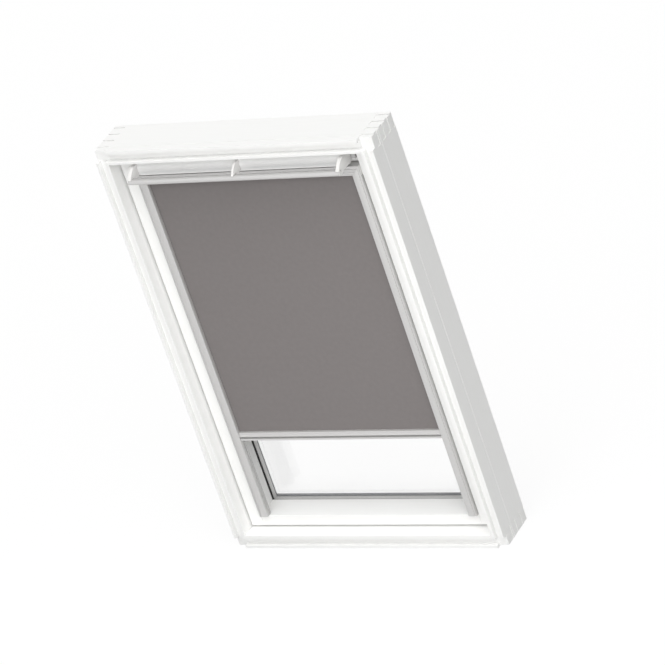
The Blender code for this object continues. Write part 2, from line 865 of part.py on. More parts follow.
# Lines of the blind
rail_outer_x = reveal_x - clearance
rail_inner_x = rail_outer_x - rail_face_width
casing_top = reveal_high - casing_head_gap
casing_low = casing_top - casing_height
blind_front = depth(blind_front_depth)
fabric_front = depth(fabric_depth)
roll_radius = tube_radius + cloth_on_tube
roller_y = fabric_front + fabric_thickness + clearance + roll_radius
roller_z = (casing_top + casing_low) / 2
casing_back = roller_y + tube_radius + all_cloth_on_tube + clearance + casing_wall
plate_front = blind_front + casing_front_thickness
end_plate_x = rail_outer_x - end_plate_thickness
cloth_x = rail_inner_x + rail_slot_reach / 2


def mitre_line(x, shift):
    """Height of the mitre between a side rail and the casing front, at a distance from the middle."""
    return casing_low + shift + (x - rail_inner_x) * casing_height / rail_face_width


def mitre_block(side, far_z, shift, start, end):
    """Mesh of everything between the mitre line and a level, between two depths."""
    low_x = rail_inner_x - beyond / 2
    high_x = rail_outer_x + beyond / 2
    outline = [
        (side * low_x, mitre_line(low_x, shift)),
        (side * high_x, mitre_line(high_x, shift)),
        (side * high_x, far_z),
        (side * low_x, far_z),
    ]
    return prism([outline], "Y", start, end)


def make_rail(name, side):
    """A side rail: a slot for the fabric's edge and a ridge beside the sash."""
    slot_front = fabric_front + fabric_thickness / 2 - rail_slot_width / 2
    slot_back = slot_front + rail_slot_width
    ridge_x = rail_outer_x - rail_ridge_width
    groove_x = ridge_x - rail_ridge_groove
    slot_x = rail_inner_x + rail_slot_reach
    body_middle = (groove_x + rail_inner_x) / 2
    body_edge = blind_front + rail_edge_round / 2
    rail_back = depth(rail_back_depth)
    section = [
        (rail_outer_x, blind_front),
        (rail_outer_x, rail_back),
        (rail_inner_x, rail_back),
        (rail_inner_x, slot_back),
        (slot_x, slot_back),
        (slot_x, slot_front),
        (rail_inner_x, slot_front),
        (rail_inner_x, blind_front + rail_edge_round),
        (rail_inner_x + rail_edge_round, blind_front + rail_edge_round / 4),
        (body_middle, blind_front),
        (groove_x, body_edge),
        (groove_x, blind_front + rail_groove_sink),
        (ridge_x, blind_front + rail_groove_sink),
        (ridge_x, blind_front),
    ]
    outline = [(side * x, y) for x, y in section]
    hollow_front = blind_front + rail_groove_sink + rail_wall * 0.7
    outer_low = (side * (slot_x + rail_wall), hollow_front)
    outer_hollow = rectangle(outer_low, (side * (rail_outer_x - rail_wall), rail_back - rail_wall))
    inner_low = (side * (rail_inner_x + rail_wall), hollow_front)
    inner_hollow = rectangle(inner_low, (side * slot_x, slot_front - rail_wall))
    rings = [outline, outer_hollow, inner_hollow]
    rail = piece(name, prism(rings, "Z", reveal_low + clearance, casing_top), "aluminium")
    near = side * (rail_inner_x - beyond)
    far = side * (rail_outer_x + beyond)
    rear = rail_back + beyond
    cut(rail, box((near, plate_front, casing_low - clearance), (far, rear, casing_top + beyond)))
    front_end = plate_front + clearance
    above = casing_top + beyond
    cut(rail, mitre_block(side, above, -clearance, blind_front - beyond, front_end))


def make_casing():
    """The blind's top casing: a ribbed front, mitred to the rails, on a folded channel."""
    rib = casing_rib_depth
    pitch = casing_height / casing_rib_count
    front_edge = [(plate_front, casing_low), (plate_front, casing_top), (blind_front + rib, casing_top)]
    for number in range(casing_rib_count, 0, -1):
        level = casing_low + number * pitch
        inset = rib if number % 2 else 0.0
        front_edge.append((blind_front + inset, level - pitch * 0.15))
        front_edge.append((blind_front + inset, level - pitch * 0.85))
    front_edge.append((blind_front + rib, casing_low))
    casing = piece("casing_front", prism([front_edge], "X", -rail_outer_x, rail_outer_x), "aluminium")
    for side in (-1, 1):
        below = casing_low - beyond
        cut(casing, mitre_block(side, below, 0.0, blind_front - beyond, plate_front + beyond))

    wall = casing_wall
    start = plate_front + clearance
    slot_back = casing_back - casing_back_lip
    section = [
        (start, casing_low + clearance),
        (start, casing_top),
        (casing_back, casing_top),
        (casing_back, casing_low + clearance),
        (slot_back, casing_low + clearance),
        (slot_back, casing_low + clearance + wall),
        (casing_back - wall, casing_low + clearance + wall),
        (casing_back - wall, casing_top - wall),
        (start + wall, casing_top - wall),
        (start + wall, casing_low + clearance),
    ]
    reach = end_plate_x - clearance
    piece("casing_channel", prism([section], "X", -reach, reach), "aluminium")

    for side, word in ((-1, "left"), (1, "right")):
        outline = rectangle((start, casing_low + clearance), (casing_back, casing_top))
        inner = side * end_plate_x
        plate = piece("casing_end_" + word, prism([outline], "X", inner, side * rail_outer_x), "plastic")
        pin = circle((roller_y, roller_z), roller_pin_radius, 12)
        pin_end = end_plate_x - roller_end_play - plug_length
        if side > 0:
            pin_end -= spring_pitch * (spring_turns + 1)
        join(plate, prism([pin], "X", inner + side * end_plate_thickness / 2, side * pin_end))
        middle = side * casing_clip_place
        low = (middle - casing_clip_width / 2, plate_front + casing_clip_inset, casing_top + clearance)
        high = (middle + casing_clip_width / 2, casing_back - casing_clip_inset, reveal_high - clearance)
        piece("casing_clip_" + word, box(low, high), "steel")


def make_roller():
    """The roller: a tube with the rest of the fabric on it and a plug at each end."""
    axis = (0.0, roller_y, roller_z)
    centre = (roller_y, roller_z)
    tube_x = end_plate_x - roller_end_play
    bore = tube_radius - tube_wall
    rings = [circle(centre, tube_radius, 24), circle(centre, bore, 24)]
    smooth(piece("roller_tube", prism(rings, "X", -tube_x, tube_x), "aluminium", axis))
    rings = [circle(centre, roll_radius, 24), circle(centre, tube_radius + clearance, 24)]
    smooth(piece("fabric_roll", prism(rings, "X", -cloth_x, cloth_x), "cloth", axis))
    for side, name in ((-1, "roller_plug_idle"), (1, "roller_plug_spring")):
        rings = [circle(centre, bore - clearance, 20), circle(centre, roller_pin_radius + clearance, 12)]
        outer = side * tube_x
        smooth(piece(name, prism(rings, "X", outer - side * plug_length, outer), "plastic", axis))
    spring_start = tube_x - plug_length - clearance - spring_wire_radius
    wire = coil(centre, spring_coil_radius, spring_wire_radius, spring_start, spring_pitch, spring_turns)
    piece("roller_spring", wire, "steel", axis)


def make_blind_bar():
    """The bottom bar with a glide in each rail, and the fabric above it."""
    top = blind_bar_top
    low = top - blind_bar_profile[-1][1]
    rear = fabric_front + blind_bar_back
    deepest = blind_front + max(inset for inset, drop in blind_bar_profile)
    room_side = [(blind_front + inset, top - drop) for inset, drop in blind_bar_profile]
    section = [(rear, top), *room_side, (rear, low)]
    hollow_low = (deepest + blind_bar_wall, low + blind_bar_wall)
    hollow = rectangle(hollow_low, (fabric_front - blind_bar_wall, top - blind_bar_wall))
    origin = (0.0, fabric_front, top)
    reach = rail_inner_x - clearance
    piece("blind_bar", prism([section, hollow], "X", -reach, reach), "aluminium", origin)
    glide_half = rail_slot_width / 2 - clearance
    glide_y = fabric_front + fabric_thickness / 2
    for side, name in ((-1, "blind_glide_left"), (1, "blind_glide_right")):
        inner = side * (reach + clearance)
        outer = side * (reach + clearance + glide_reach)
        glide_low = (inner, glide_y - glide_half, low + glide_inset)
        glide_high = (outer, glide_y + glide_half, top - glide_inset)
        piece(name, box(glide_low, glide_high), "plastic", origin)
    cloth_low = (-cloth_x, fabric_front, top + clearance)
    cloth = box(cloth_low, (cloth_x, fabric_front + fabric_thickness, roller_z))
    piece("blind_fabric", cloth, "cloth", origin)


def main():
    for item in list(bpy.data.objects):
        bpy.data.objects.remove(item, do_unlink=True)
    bpy.context.scene.collection.children.link(parts)
    bpy.context.scene.collection.children.link(cutters)
    make_frame()
    make_sash()
    make_flap()
    make_rail("blind_rail_left", -1)
    make_rail("blind_rail_right", 1)
    make_casing()
    make_roller()
    make_blind_bar()


main()
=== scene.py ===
# %% [markdown]
# The object is a white timber roof window that turns on pivots in the middle of its sides. A grey
# blackout blind runs in aluminium rails on its sash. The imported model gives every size, so it is
# loaded first, and each new piece is made in the place of a solid that it stands for.

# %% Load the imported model
import json
import math

import bmesh
import bpy
import numpy as np
from mathutils import Matrix, Vector


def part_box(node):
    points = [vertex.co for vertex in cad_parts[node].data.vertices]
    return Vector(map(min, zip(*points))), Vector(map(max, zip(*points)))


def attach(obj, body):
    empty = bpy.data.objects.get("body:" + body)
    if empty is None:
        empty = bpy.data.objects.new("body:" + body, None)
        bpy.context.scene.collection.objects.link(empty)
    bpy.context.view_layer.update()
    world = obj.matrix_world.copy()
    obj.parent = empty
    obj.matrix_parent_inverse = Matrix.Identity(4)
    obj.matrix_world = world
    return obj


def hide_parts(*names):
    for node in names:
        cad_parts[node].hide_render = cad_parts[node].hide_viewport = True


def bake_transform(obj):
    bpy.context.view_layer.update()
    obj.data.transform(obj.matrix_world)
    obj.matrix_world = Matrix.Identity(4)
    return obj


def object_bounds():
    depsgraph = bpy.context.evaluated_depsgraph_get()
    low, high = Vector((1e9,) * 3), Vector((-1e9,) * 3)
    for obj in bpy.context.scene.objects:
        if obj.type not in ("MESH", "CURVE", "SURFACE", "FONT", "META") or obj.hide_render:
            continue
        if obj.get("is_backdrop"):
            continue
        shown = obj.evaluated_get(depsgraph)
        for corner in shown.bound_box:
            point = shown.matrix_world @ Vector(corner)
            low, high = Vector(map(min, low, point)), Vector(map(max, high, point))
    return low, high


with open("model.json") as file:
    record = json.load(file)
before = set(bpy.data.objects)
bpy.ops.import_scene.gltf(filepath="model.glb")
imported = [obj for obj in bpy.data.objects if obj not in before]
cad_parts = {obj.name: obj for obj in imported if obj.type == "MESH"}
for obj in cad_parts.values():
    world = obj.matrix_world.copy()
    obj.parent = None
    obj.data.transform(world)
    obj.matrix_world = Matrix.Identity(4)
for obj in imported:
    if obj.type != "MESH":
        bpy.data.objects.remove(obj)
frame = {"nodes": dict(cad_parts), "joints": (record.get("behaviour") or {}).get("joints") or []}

scene = bpy.context.scene
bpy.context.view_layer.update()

# %% [markdown]
# A long lens far away shows the window as the photograph does, with little perspective. The place
# and the turn were worked out from the corners of the timber frame. The three rows below hold the
# camera's right, up and backward directions, read down the columns. Blender keeps the data of a
# camera, lamp or mesh apart from the object that places it, so one function makes that object.

# %% Camera
camera_place = (6.2002, -8.8344, 6.2194)
camera_turn = ((0.8623, 0.0218, 0.5059), (0.4131, 0.5474, -0.7278), (-0.2928, 0.8366, 0.4630))
lens_mm = 267.6
sensor_mm = 36.0


def new_object(name, data):
    """An object that holds the data, linked to the scene."""
    made = bpy.data.objects.new(name, data)
    scene.collection.objects.link(made)
    return made


camera_data = bpy.data.cameras.new("window_camera")
camera_data.lens = lens_mm
camera_data.sensor_width = sensor_mm
camera_data.clip_end = 100.0
camera = new_object("window_camera", camera_data)
camera.matrix_world = Matrix.Translation(camera_place) @ Matrix(camera_turn).to_4x4()
scene.camera = camera
scene.view_settings.view_transform = "Standard"
print("camera stands", round(Vector(camera_place).length, 2), "m away")

# %% [markdown]
# Three small helpers serve every finish. Paint charts and screens give colours as sRGB hex values,
# while a shader needs linear light, so one function turns the first into the second. Another adds a
# node of any kind with its settings, and a third sets or joins the inputs of a node.

# %% Colour and node helpers
def linear(colour):
    """A channel c becomes c / 12.92 up to 0.04045, and ((c + 0.055) / 1.055) ^ 2.4 above."""
    channels = np.array([int(colour[i : i + 2], 16) for i in (0, 2, 4)]) / 255
    low = channels / 12.92
    high = ((channels + 0.055) / 1.055) ** 2.4
    return (*np.where(channels <= 0.04045, low, high).tolist(), 1.0)


def feed(tree, node, inputs):
    """Each input takes a plain value, or the output of another node."""
    for key, value in inputs.items():
        if isinstance(value, bpy.types.NodeSocket):
            tree.links.new(value, node.inputs[key])
        else:
            node.inputs[key].default_value = value


def add(tree, kind, inputs=None, **settings):
    """Adds a shader node with its inputs and settings."""
    node = tree.nodes.new("ShaderNode" + kind)
    for name, value in settings.items():
        setattr(node, name, value)
    feed(tree, node, inputs or {})
    return node


print("white paint as linear light:", [round(c, 3) for c in linear("FAFAF8")])

# %% [markdown]
# The studio light is a very broad lamp overhead, one in front to the right, a faint one behind that
# shines through the glass, and a trace of fill. In a world, a lamp that soft is a brightness of
# b c^n, where c is how nearly a direction points at it, from 0 to 1. It shades softly, with no hard
# shadow. What the camera, metal and glass see of the world is plain white. A softbox stands in
# front as well, and lights the walls that face it more than those that turn away.

# %% Studio light
# The direction to each lamp, its brightness b and its power n
top_lamp = (Vector((0.1, -0.28, 0.96)).normalized(), 3.6, 8.0)
front_lamp = (Vector((0.70, -0.60, 0.60)).normalized(), 2.3, 14.0)
back_lamp = (Vector((-0.35, 0.85, 0.4)).normalized(), 0.8, 10.0)
light_fill = 0.09
softbox_place = (0.40, -1.7, 0.80)
softbox_aim = (0.0, 0.0, 0.65)
softbox_size = 0.8
softbox_watts = 10.3

world = bpy.data.worlds.new("studio")
world.use_nodes = True
scene.world = world
tree = world.node_tree
tree.nodes.clear()
direction = add(tree, "TexCoord").outputs["Generated"]
level = light_fill
for towards, strength, focus in (top_lamp, front_lamp, back_lamp):
    lean = add(tree, "VectorMath", {0: direction, 1: towards}, operation="DOT_PRODUCT")
    facing = add(tree, "Math", {0: lean.outputs["Value"], 1: 0.0}, operation="MAXIMUM")
    lobe = add(tree, "Math", {0: facing.outputs[0], 1: focus}, operation="POWER").outputs[0]
    level = add(tree, "Math", {0: lobe, 1: strength, 2: level}, operation="MULTIPLY_ADD").outputs[0]
plain = (1.0, 1.0, 1.0, 1.0)
soft = add(tree, "Background", {"Color": plain, "Strength": level})
white = add(tree, "Background", {"Color": plain, "Strength": 1.0})


def seen_white(tree):
    """1 for a ray from the camera, from a shiny surface or through glass, and 0 for the rest."""
    path = add(tree, "LightPath").outputs
    rays = {0: path["Is Glossy Ray"], 1: path["Is Transmission Ray"]}
    shiny = add(tree, "Math", rays, operation="MAXIMUM").outputs[0]
    return add(tree, "Math", {0: shiny, 1: path["Is Camera Ray"]}, operation="MAXIMUM").outputs[0]


chosen = add(tree, "MixShader", {0: seen_white(tree), 1: soft.outputs[0], 2: white.outputs[0]})
add(tree, "OutputWorld", {"Surface": chosen.outputs[0]})

softbox_data = bpy.data.lights.new("softbox", "AREA")
softbox_data.size = softbox_size
softbox_data.energy = softbox_watts
softbox = new_object("softbox", softbox_data)
shine = Vector(softbox_aim) - Vector(softbox_place)
turn = shine.to_track_quat("-Z", "Y").to_matrix().to_4x4()
softbox.matrix_world = Matrix.Translation(softbox_place) @ turn
softbox.visible_camera = False
print("lamps of", top_lamp[1], "overhead and", front_lamp[1], "in front, softbox of", softbox_watts, "W")

# %% [markdown]
# The floor is a plain pale sheet under the sill. Nine tenths of what the camera sees of it is plain
# white, and one tenth is matt paint, so that it reads as a white page and still keeps a soft
# shadow where the window stands.

# %% Floor
floor_reach = 60.0
floor_white_share = 0.90
# The paint as it lights the room, and as the camera, metal and glass see it
floor_in_room = "B8B8B8"
floor_paint = "FDFDFD"

floor_mesh = bpy.data.meshes.new("floor")
corners = np.array([(-1, -1, 0), (1, -1, 0), (1, 1, 0), (-1, 1, 0)]) * floor_reach
floor_mesh.from_pydata(corners.tolist(), [], [(0, 1, 2, 3)])
floor = new_object("floor", floor_mesh)
floor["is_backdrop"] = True

floor_finish = bpy.data.materials.new("matt_white_floor")
floor_finish.use_nodes = True
tree = floor_finish.node_tree
tree.nodes.clear()
seen = seen_white(tree)
tone = add(tree, "Mix", {0: seen, 6: linear(floor_in_room), 7: linear(floor_paint)}, data_type="RGBA")
paint = add(tree, "BsdfDiffuse", {"Color": tone.outputs[2]})
page = add(tree, "Emission", {"Color": plain, "Strength": 1.0})
share = add(tree, "Math", {0: seen, 1: floor_white_share}, operation="MULTIPLY")
mixed = add(tree, "MixShader", {0: share.outputs[0], 1: paint.outputs[0], 2: page.outputs[0]})
add(tree, "OutputMaterial", {"Surface": mixed.outputs[0]})
floor_mesh.materials.append(floor_finish)
print("floor is", 2 * floor_reach, "m wide")

# %% [markdown]
# Most finishes here are one colour with a faint pattern: grain under lacquer, die lines on an
# extrusion, the fine texture of a mould. One function lays such a pattern from the size of its
# marks in millimetres along X, Y and Z, and uses it for colour, gloss and relief together.

# %% A finish with a fine pattern
def new_finish(name, slot, **sockets):
    """A Principled material that takes the record's material slot, with plain values set."""
    finish = bpy.data.materials.new(name)
    finish.use_nodes = True
    finish["slot"] = slot
    shader = finish.node_tree.nodes["Principled BSDF"]
    feed(finish.node_tree, shader, {key.replace("_", " "): value for key, value in sockets.items()})
    return finish, finish.node_tree, shader


def marks(tree, size_mm):
    """Object coordinates divided by the size of one mark in each direction."""
    place = add(tree, "TexCoord").outputs["Object"]
    scale = [1000 / size for size in size_mm]
    return add(tree, "Mapping", {"Vector": place, "Scale": scale}).outputs["Vector"]


def patterned(name, slot, colours, size_mm, relief_mm, gloss, **sockets):
    """Noise n from 0 to 1 picks the colour between two, the roughness between two, and the relief."""
    finish, tree, shader = new_finish(name, slot, **sockets)
    texture = add(tree, "TexNoise", {"Vector": marks(tree, size_mm), "Scale": 1.0, "Detail": 2.0})
    noise = texture.outputs["Fac"]
    rough = add(tree, "MapRange", {"Value": noise, "To Min": gloss[0], "To Max": gloss[1]}).outputs[0]
    relief = add(tree, "Bump", {"Height": noise, "Distance": relief_mm / 1000, "Strength": 1.0})
    ends = {0: noise, 6: linear(colours[0]), 7: linear(colours[1])}
    tone = add(tree, "Mix", ends, data_type="RGBA").outputs[2]
    feed(tree, shader, {"Base Color": tone, "Roughness": rough, "Normal": relief.outputs[0]})
    return finish


def grained(name, slot, colours, width_mm, length_mm, relief_mm, gloss, **sockets):
    """Two finishes: one with long marks upright along Z, one with long marks level along X."""
    sizes = {"upright": (width_mm, width_mm, length_mm), "level": (length_mm, width_mm, width_mm)}
    return [
        patterned(f"{name}_{word}", slot, colours, size, relief_mm, gloss, **sockets)
        for word, size in sizes.items()
    ]


print("patterns are laid in object space, where one mark has its size in millimetres")

# %% [markdown]
# The timber is laminated pine with white water-based lacquer. The lacquer hides the colour of the
# wood, but the grain still swells a little under it along each board. So the finish comes in two
# directions: upright for sides and stiles, level for head, sill and rails.

# %% White lacquered pine
pine_colours = ("FBFBFA", "F6F6F4")
grain_mm = 2.4
grain_length_mm = 90.0
pine_relief_mm = 0.02
pine_gloss = (0.34, 0.44)

pine_upright, pine_level = grained(
    "lacquered_pine", "painted_timber", pine_colours, grain_mm, grain_length_mm, pine_relief_mm,
    pine_gloss,
)
print("pine grain is", grain_mm, "mm wide and", grain_length_mm, "mm long")

# %% [markdown]
# The blind's rails, casing and bars are extruded aluminium, anodised in its own silver. Anodising
# leaves a thin oxide skin that scatters some light, so it looks softer than polished metal. The die
# draws faint lines along the length. Real ones are near 0.1 mm apart, and 1 mm is drawn here, which
# is as coarse as the picture needs to show them.

# %% Silver anodised and lacquered aluminium
anodised_colours = ("D0CFCE", "C6C5C4")
die_line_mm = 1.0
die_length_mm = 400.0
die_relief_mm = 0.004
anodised_gloss = (0.36, 0.46)

anodised_upright, anodised_level = grained(
    "anodised_aluminium", "silver_aluminium", anodised_colours, die_line_mm, die_length_mm,
    die_relief_mm, anodised_gloss, Metallic=0.35,
)

# The outside covers are sheet aluminium with a grey stoved lacquer, whose fine orange peel is
# about 1.5 mm across
grey_lacquer = patterned(
    "grey_lacquered_aluminium", "outer_aluminium", ("85878A", "7B7D80"),
    (1.5, 1.5, 1.5), 0.01, (0.38, 0.48), Coat_Weight=0.15,
)
# The flap is a thin aluminium extrusion with a smooth white lacquer
white_lacquer = patterned(
    "white_lacquered_aluminium", "white_flap", ("FBFBFA", "F7F7F6"),
    (1.5, 1.5, 1.5), 0.006, (0.28, 0.34), Coat_Weight=0.2,
)
print("anodised aluminium has die lines", die_line_mm, "mm apart")

# %% [markdown]
# Arms, caps, plugs and glides are moulded in white ABS, from a mould with a fine eroded texture. The
# seals are extruded EPDM rubber: nearly black, dull, and slightly mottled by its talc.

# %% Moulded plastic and extruded rubber
moulded_abs = patterned(
    "moulded_white_abs", "white_plastic", ("EBEAE8", "E6E5E3"),
    (0.7, 0.7, 0.7), 0.008, (0.34, 0.42),
)
epdm_rubber = patterned(
    "extruded_epdm_rubber", "black_rubber", ("2F2D2C", "383635"),
    (2.0, 2.0, 2.0), 0.02, (0.62, 0.78),
)
butyl = patterned(
    "pressed_butyl_seal", "black_rubber", ("1E1E1E", "262626"),
    (3.0, 3.0, 3.0), 0.03, (0.45, 0.60),
)
print("plastic and rubber finishes:", moulded_abs.name, epdm_rubber.name, butyl.name)

# %% [markdown]
# Pivots, brackets, bolts and screws are steel with bright zinc plating. Zinc settles in small
# patches that each catch the light a little differently. Cells of a Voronoi pattern about 2 mm
# across give those patches their own tone and gloss.

# %% Zinc-plated steel
spangle_mm = 2.2

zinc_steel, tree, shader = new_finish("zinc_plated_steel", "zinc_steel", Metallic=1.0)
cells = add(tree, "TexVoronoi", {"Vector": marks(tree, (spangle_mm,) * 3), "Scale": 1.0})
patch = add(tree, "SeparateColor", {"Color": cells.outputs["Color"]}).outputs[0]
tone = add(tree, "Mix", {0: patch, 6: linear("BEBFC0"), 7: linear("ADAEB0")}, data_type="RGBA")
rough = add(tree, "MapRange", {"Value": patch, "To Min": 0.26, "To Max": 0.40})
feed(tree, shader, {"Base Color": tone.outputs[2], "Roughness": rough.outputs[0]})

# The flap's brackets have a grey powder coat over the zinc, with an orange peel of about 1 mm
grey_powder = patterned(
    "grey_powder_coated_steel", "zinc_steel", ("C2C1C0", "BBBAB9"),
    (1.0, 1.0, 1.0), 0.01, (0.45, 0.55),
)
print("zinc patches are", spangle_mm, "mm across")

# %% [markdown]
# Blackout cloth is woven polyester with an opaque coating. Threads run 0.5 mm apart, which a whole
# window in the picture can't show, so they are drawn at 1 mm. Two waves across the cloth's own UV
# map, in metres, stand for warp and weft. The coating keeps it matt, with a trace of sheen.

# %% Coated blackout cloth
thread_mm = 1.0
cloth_colours = ("827D7C", "7B7675")
wave_scale = math.pi / 10
weave_share = 0.4
thread_relief = 0.00005

blackout_cloth, tree, shader = new_finish(
    "woven_blackout_cloth", "blackout_cloth", Roughness=0.85, Sheen_Weight=0.05
)
on_cloth = add(tree, "TexCoord").outputs["UV"]
threads = add(tree, "Mapping", {"Vector": on_cloth, "Scale": (1000 / thread_mm,) * 3}).outputs[0]
warp = add(tree, "TexWave", {"Vector": threads, "Scale": wave_scale}, bands_direction="X")
weft = add(tree, "TexWave", {"Vector": threads, "Scale": wave_scale}, bands_direction="Y")
waves = {0: warp.outputs["Fac"], 1: weft.outputs["Fac"]}
weave = add(tree, "Math", waves, operation="MULTIPLY").outputs[0]
slub = add(tree, "TexNoise", {"Vector": threads, "Scale": 0.08, "Detail": 3.0}).outputs["Fac"]
tint = add(tree, "Math", {0: weave, 1: weave_share, 2: slub}, operation="MULTIPLY_ADD").outputs[0]
ends = {0: tint, 6: linear(cloth_colours[0]), 7: linear(cloth_colours[1])}
tone = add(tree, "Mix", ends, data_type="RGBA")
relief = add(tree, "Bump", {"Height": weave, "Distance": thread_relief, "Strength": 0.6})
feed(tree, shader, {"Base Color": tone.outputs[2], "Normal": relief.outputs[0]})
print("threads are drawn", thread_mm, "mm apart")

# %% [markdown]
# The glass is clear float glass in two panes. A Principled shader that lets all light through, with
# the IOR of window glass, leaves the panes nearly unseen but for what they mirror. Daylight passes
# a flat pane almost whole, so for light on its way to other surfaces the pane is transparent. The
# air filter is open-cell foam, whose pores are the cells of a Voronoi pattern, with painted shade
# that darkens each pore towards its deep middle.

# %% Float glass and filter foam
float_glass, tree, shader = new_finish(
    "clear_float_glass", "clear_glass",
    Base_Color=(1.0, 1.0, 1.0, 1.0), Roughness=0.0, IOR=1.5, Transmission_Weight=1.0,
)
path = add(tree, "LightPath").outputs
rays = {0: path["Is Shadow Ray"], 1: path["Is Diffuse Ray"]}
lighting = add(tree, "Math", rays, operation="MAXIMUM").outputs[0]
clear = add(tree, "BsdfTransparent")
pane_mix = add(tree, "MixShader", {0: lighting, 1: shader.outputs[0], 2: clear.outputs[0]})
feed(tree, tree.nodes["Material Output"], {"Surface": pane_mix.outputs[0]})

pore_mm = 1.4
pore_depth = 0.0006
filter_foam, tree, shader = new_finish("open_cell_foam", "foam", Roughness=0.95)
pores = add(tree, "TexVoronoi", {"Vector": marks(tree, (pore_mm,) * 3), "Scale": 1.0})
pore_depth_and_shade = pores.outputs["Distance"]
relief = add(tree, "Bump", {"Height": pore_depth_and_shade, "Distance": pore_depth, "Strength": 0.8})
# Painted shade: the tone runs from dark at the deep middle of each pore to light at its rim
ends = {0: pore_depth_and_shade, 6: linear("3A3938"), 7: linear("7E7C7A")}
tone = add(tree, "Mix", ends, data_type="RGBA")
feed(tree, shader, {"Base Color": tone.outputs[2], "Normal": relief.outputs[0]})
print("foam pores are", pore_mm, "mm across")

# %% [markdown]
# Every new shape is a grid of points: rows along the piece, columns round its section. Turning a
# grid into a mesh is the same job each time, so it is done once here: neighbours make four-sided
# faces, and the first and last sections are closed with flat caps. The faces are then turned
# outwards, and only edges sharper than 35 degrees stay crisp.

# %% From a grid to a mesh
merge_distance = 0.00001
crisp_angle = math.radians(35)


def surface(grid, around=True, along=False):
    """Face (i, j) joins points (i, j), (i, j+1), (i+1, j+1) and (i+1, j) of the grid."""
    rows, columns = grid.shape[:2]
    i = np.arange(rows if along else rows - 1)[:, None]
    j = np.arange(columns if around else columns - 1)[None, :]
    right = (j + 1) % columns
    down = (i + 1) % rows
    quads = (i * columns + j, i * columns + right, down * columns + right, down * columns + j)
    faces = np.stack(np.broadcast_arrays(*quads), axis=-1).reshape(-1, 4).tolist()
    if around and not along:
        first = list(range(columns))
        faces.append(first[::-1])
        faces.append([(rows - 1) * columns + number for number in first])
    return grid.reshape(-1, 3), faces


def shaded(shape, mesh):
    """Writes a shape to a mesh, where only the crisp edges stay sharp."""
    shape.to_mesh(mesh)
    shape.free()
    mesh.shade_smooth()
    mesh.set_sharp_from_angle(angle=crisp_angle)
    return mesh


def mesh_of(name, *surfaces):
    """One mesh of several surfaces, each closed, with its faces turned outwards."""
    points, faces, count = [], [], 0
    for vertices, quads in surfaces:
        points.append(vertices)
        faces += [[number + count for number in face] for face in quads]
        count += len(vertices)
    mesh = bpy.data.meshes.new(name)
    mesh.from_pydata(np.concatenate(points).tolist(), [], faces)
    shape = bmesh.new()
    shape.from_mesh(mesh)
    bmesh.ops.remove_doubles(shape, verts=shape.verts, dist=merge_distance)
    bmesh.ops.recalc_face_normals(shape, faces=shape.faces)
    return shaded(shape, mesh)


def fit(name, mesh, finish, body, *stands_for):
    """Makes the mesh a piece that rides on a body and stands for the named solids."""
    piece = new_object(name, mesh)
    mesh.materials.clear()
    mesh.materials.append(finish)
    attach(piece, body)
    if stands_for:
        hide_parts(*stands_for)
    return piece


def fit_new(node, word, finish, body, *surfaces):
    """A new piece, made of surfaces, that stands for one solid and is named after it."""
    return fit(f"{node}_{word}", mesh_of(node, *surfaces), finish, body, node)


def soften(piece, width, segments=2):
    """Rounds every sharp edge of a piece with a Bevel."""
    bevel = piece.modifiers.new("eased_edges", "BEVEL")
    bevel.width = width
    bevel.segments = segments
    bevel.limit_method = "ANGLE"
    bevel.angle_limit = crisp_angle
    bevel.harden_normals = True
    return piece


print("edges flatter than", round(math.degrees(crisp_angle)), "degrees are shaded smooth")

# %% [markdown]
# Three ways of making a grid cover nearly everything. An extrusion carries an outline straight
# along one axis. A ring carries a section round a rectangle, as seals and spacers run round glass.
# A turned shape spins a section round a line. Corners of an outline are eased first, because no
# die or mould leaves them perfectly sharp.

# %% Outlines and the grids they make
def eased(outline, radius, steps=3):
    """A corner P becomes the curve (1-s)^2 A + 2s(1-s) P + s^2 B, for s from 0 to 1. A and B lie
    on the two edges at the radius from P, or 0.45 of the shorter edge if that is less."""
    points = np.asarray(outline, float)
    before = np.roll(points, 1, axis=0) - points
    after = np.roll(points, -1, axis=0) - points
    before_length = np.linalg.norm(before, axis=1, keepdims=True)
    after_length = np.linalg.norm(after, axis=1, keepdims=True)
    reach = np.minimum(radius, 0.45 * np.minimum(before_length, after_length))
    start = (points + before / before_length * reach)[:, None]
    end = (points + after / after_length * reach)[:, None]
    s = np.linspace(0, 1, steps + 1)[None, :, None]
    curve = (1 - s) ** 2 * start + 2 * s * (1 - s) * points[:, None] + s**2 * end
    return curve.reshape(-1, 2)


def extruded(outline, axis, start, end):
    """Station 0 holds the outline at start along the axis, station 1 at end. Start and end are one
    number, or one for each point of the outline, as at a mitre."""
    outline = np.asarray(outline, float)
    count = len(outline)
    along = np.stack([np.broadcast_to(start, count), np.broadcast_to(end, count)])
    first = np.broadcast_to(outline[:, 0], along.shape)
    second = np.broadcast_to(outline[:, 1], along.shape)
    order = {"X": (along, first, second), "Z": (first, second, along)}
    return np.stack(order[axis], axis=-1).astype(float)


def ringed(half_x, low, high, section):
    """A section of (outward distance w, depth y) carried round a rectangle and mitred: a corner of
    the rectangle moves outwards by w in X and by w in Z, and lies at the depth y."""
    section = np.asarray(section, float)
    signs = np.array([(1, 1), (-1, 1), (-1, -1), (1, -1)])
    x = signs[:, :1] * (half_x + section[:, 0])
    z = (low + high) / 2 + signs[:, 1:] * ((high - low) / 2 + section[:, 0])
    return np.stack(np.broadcast_arrays(x, section[:, 1], z), axis=-1)


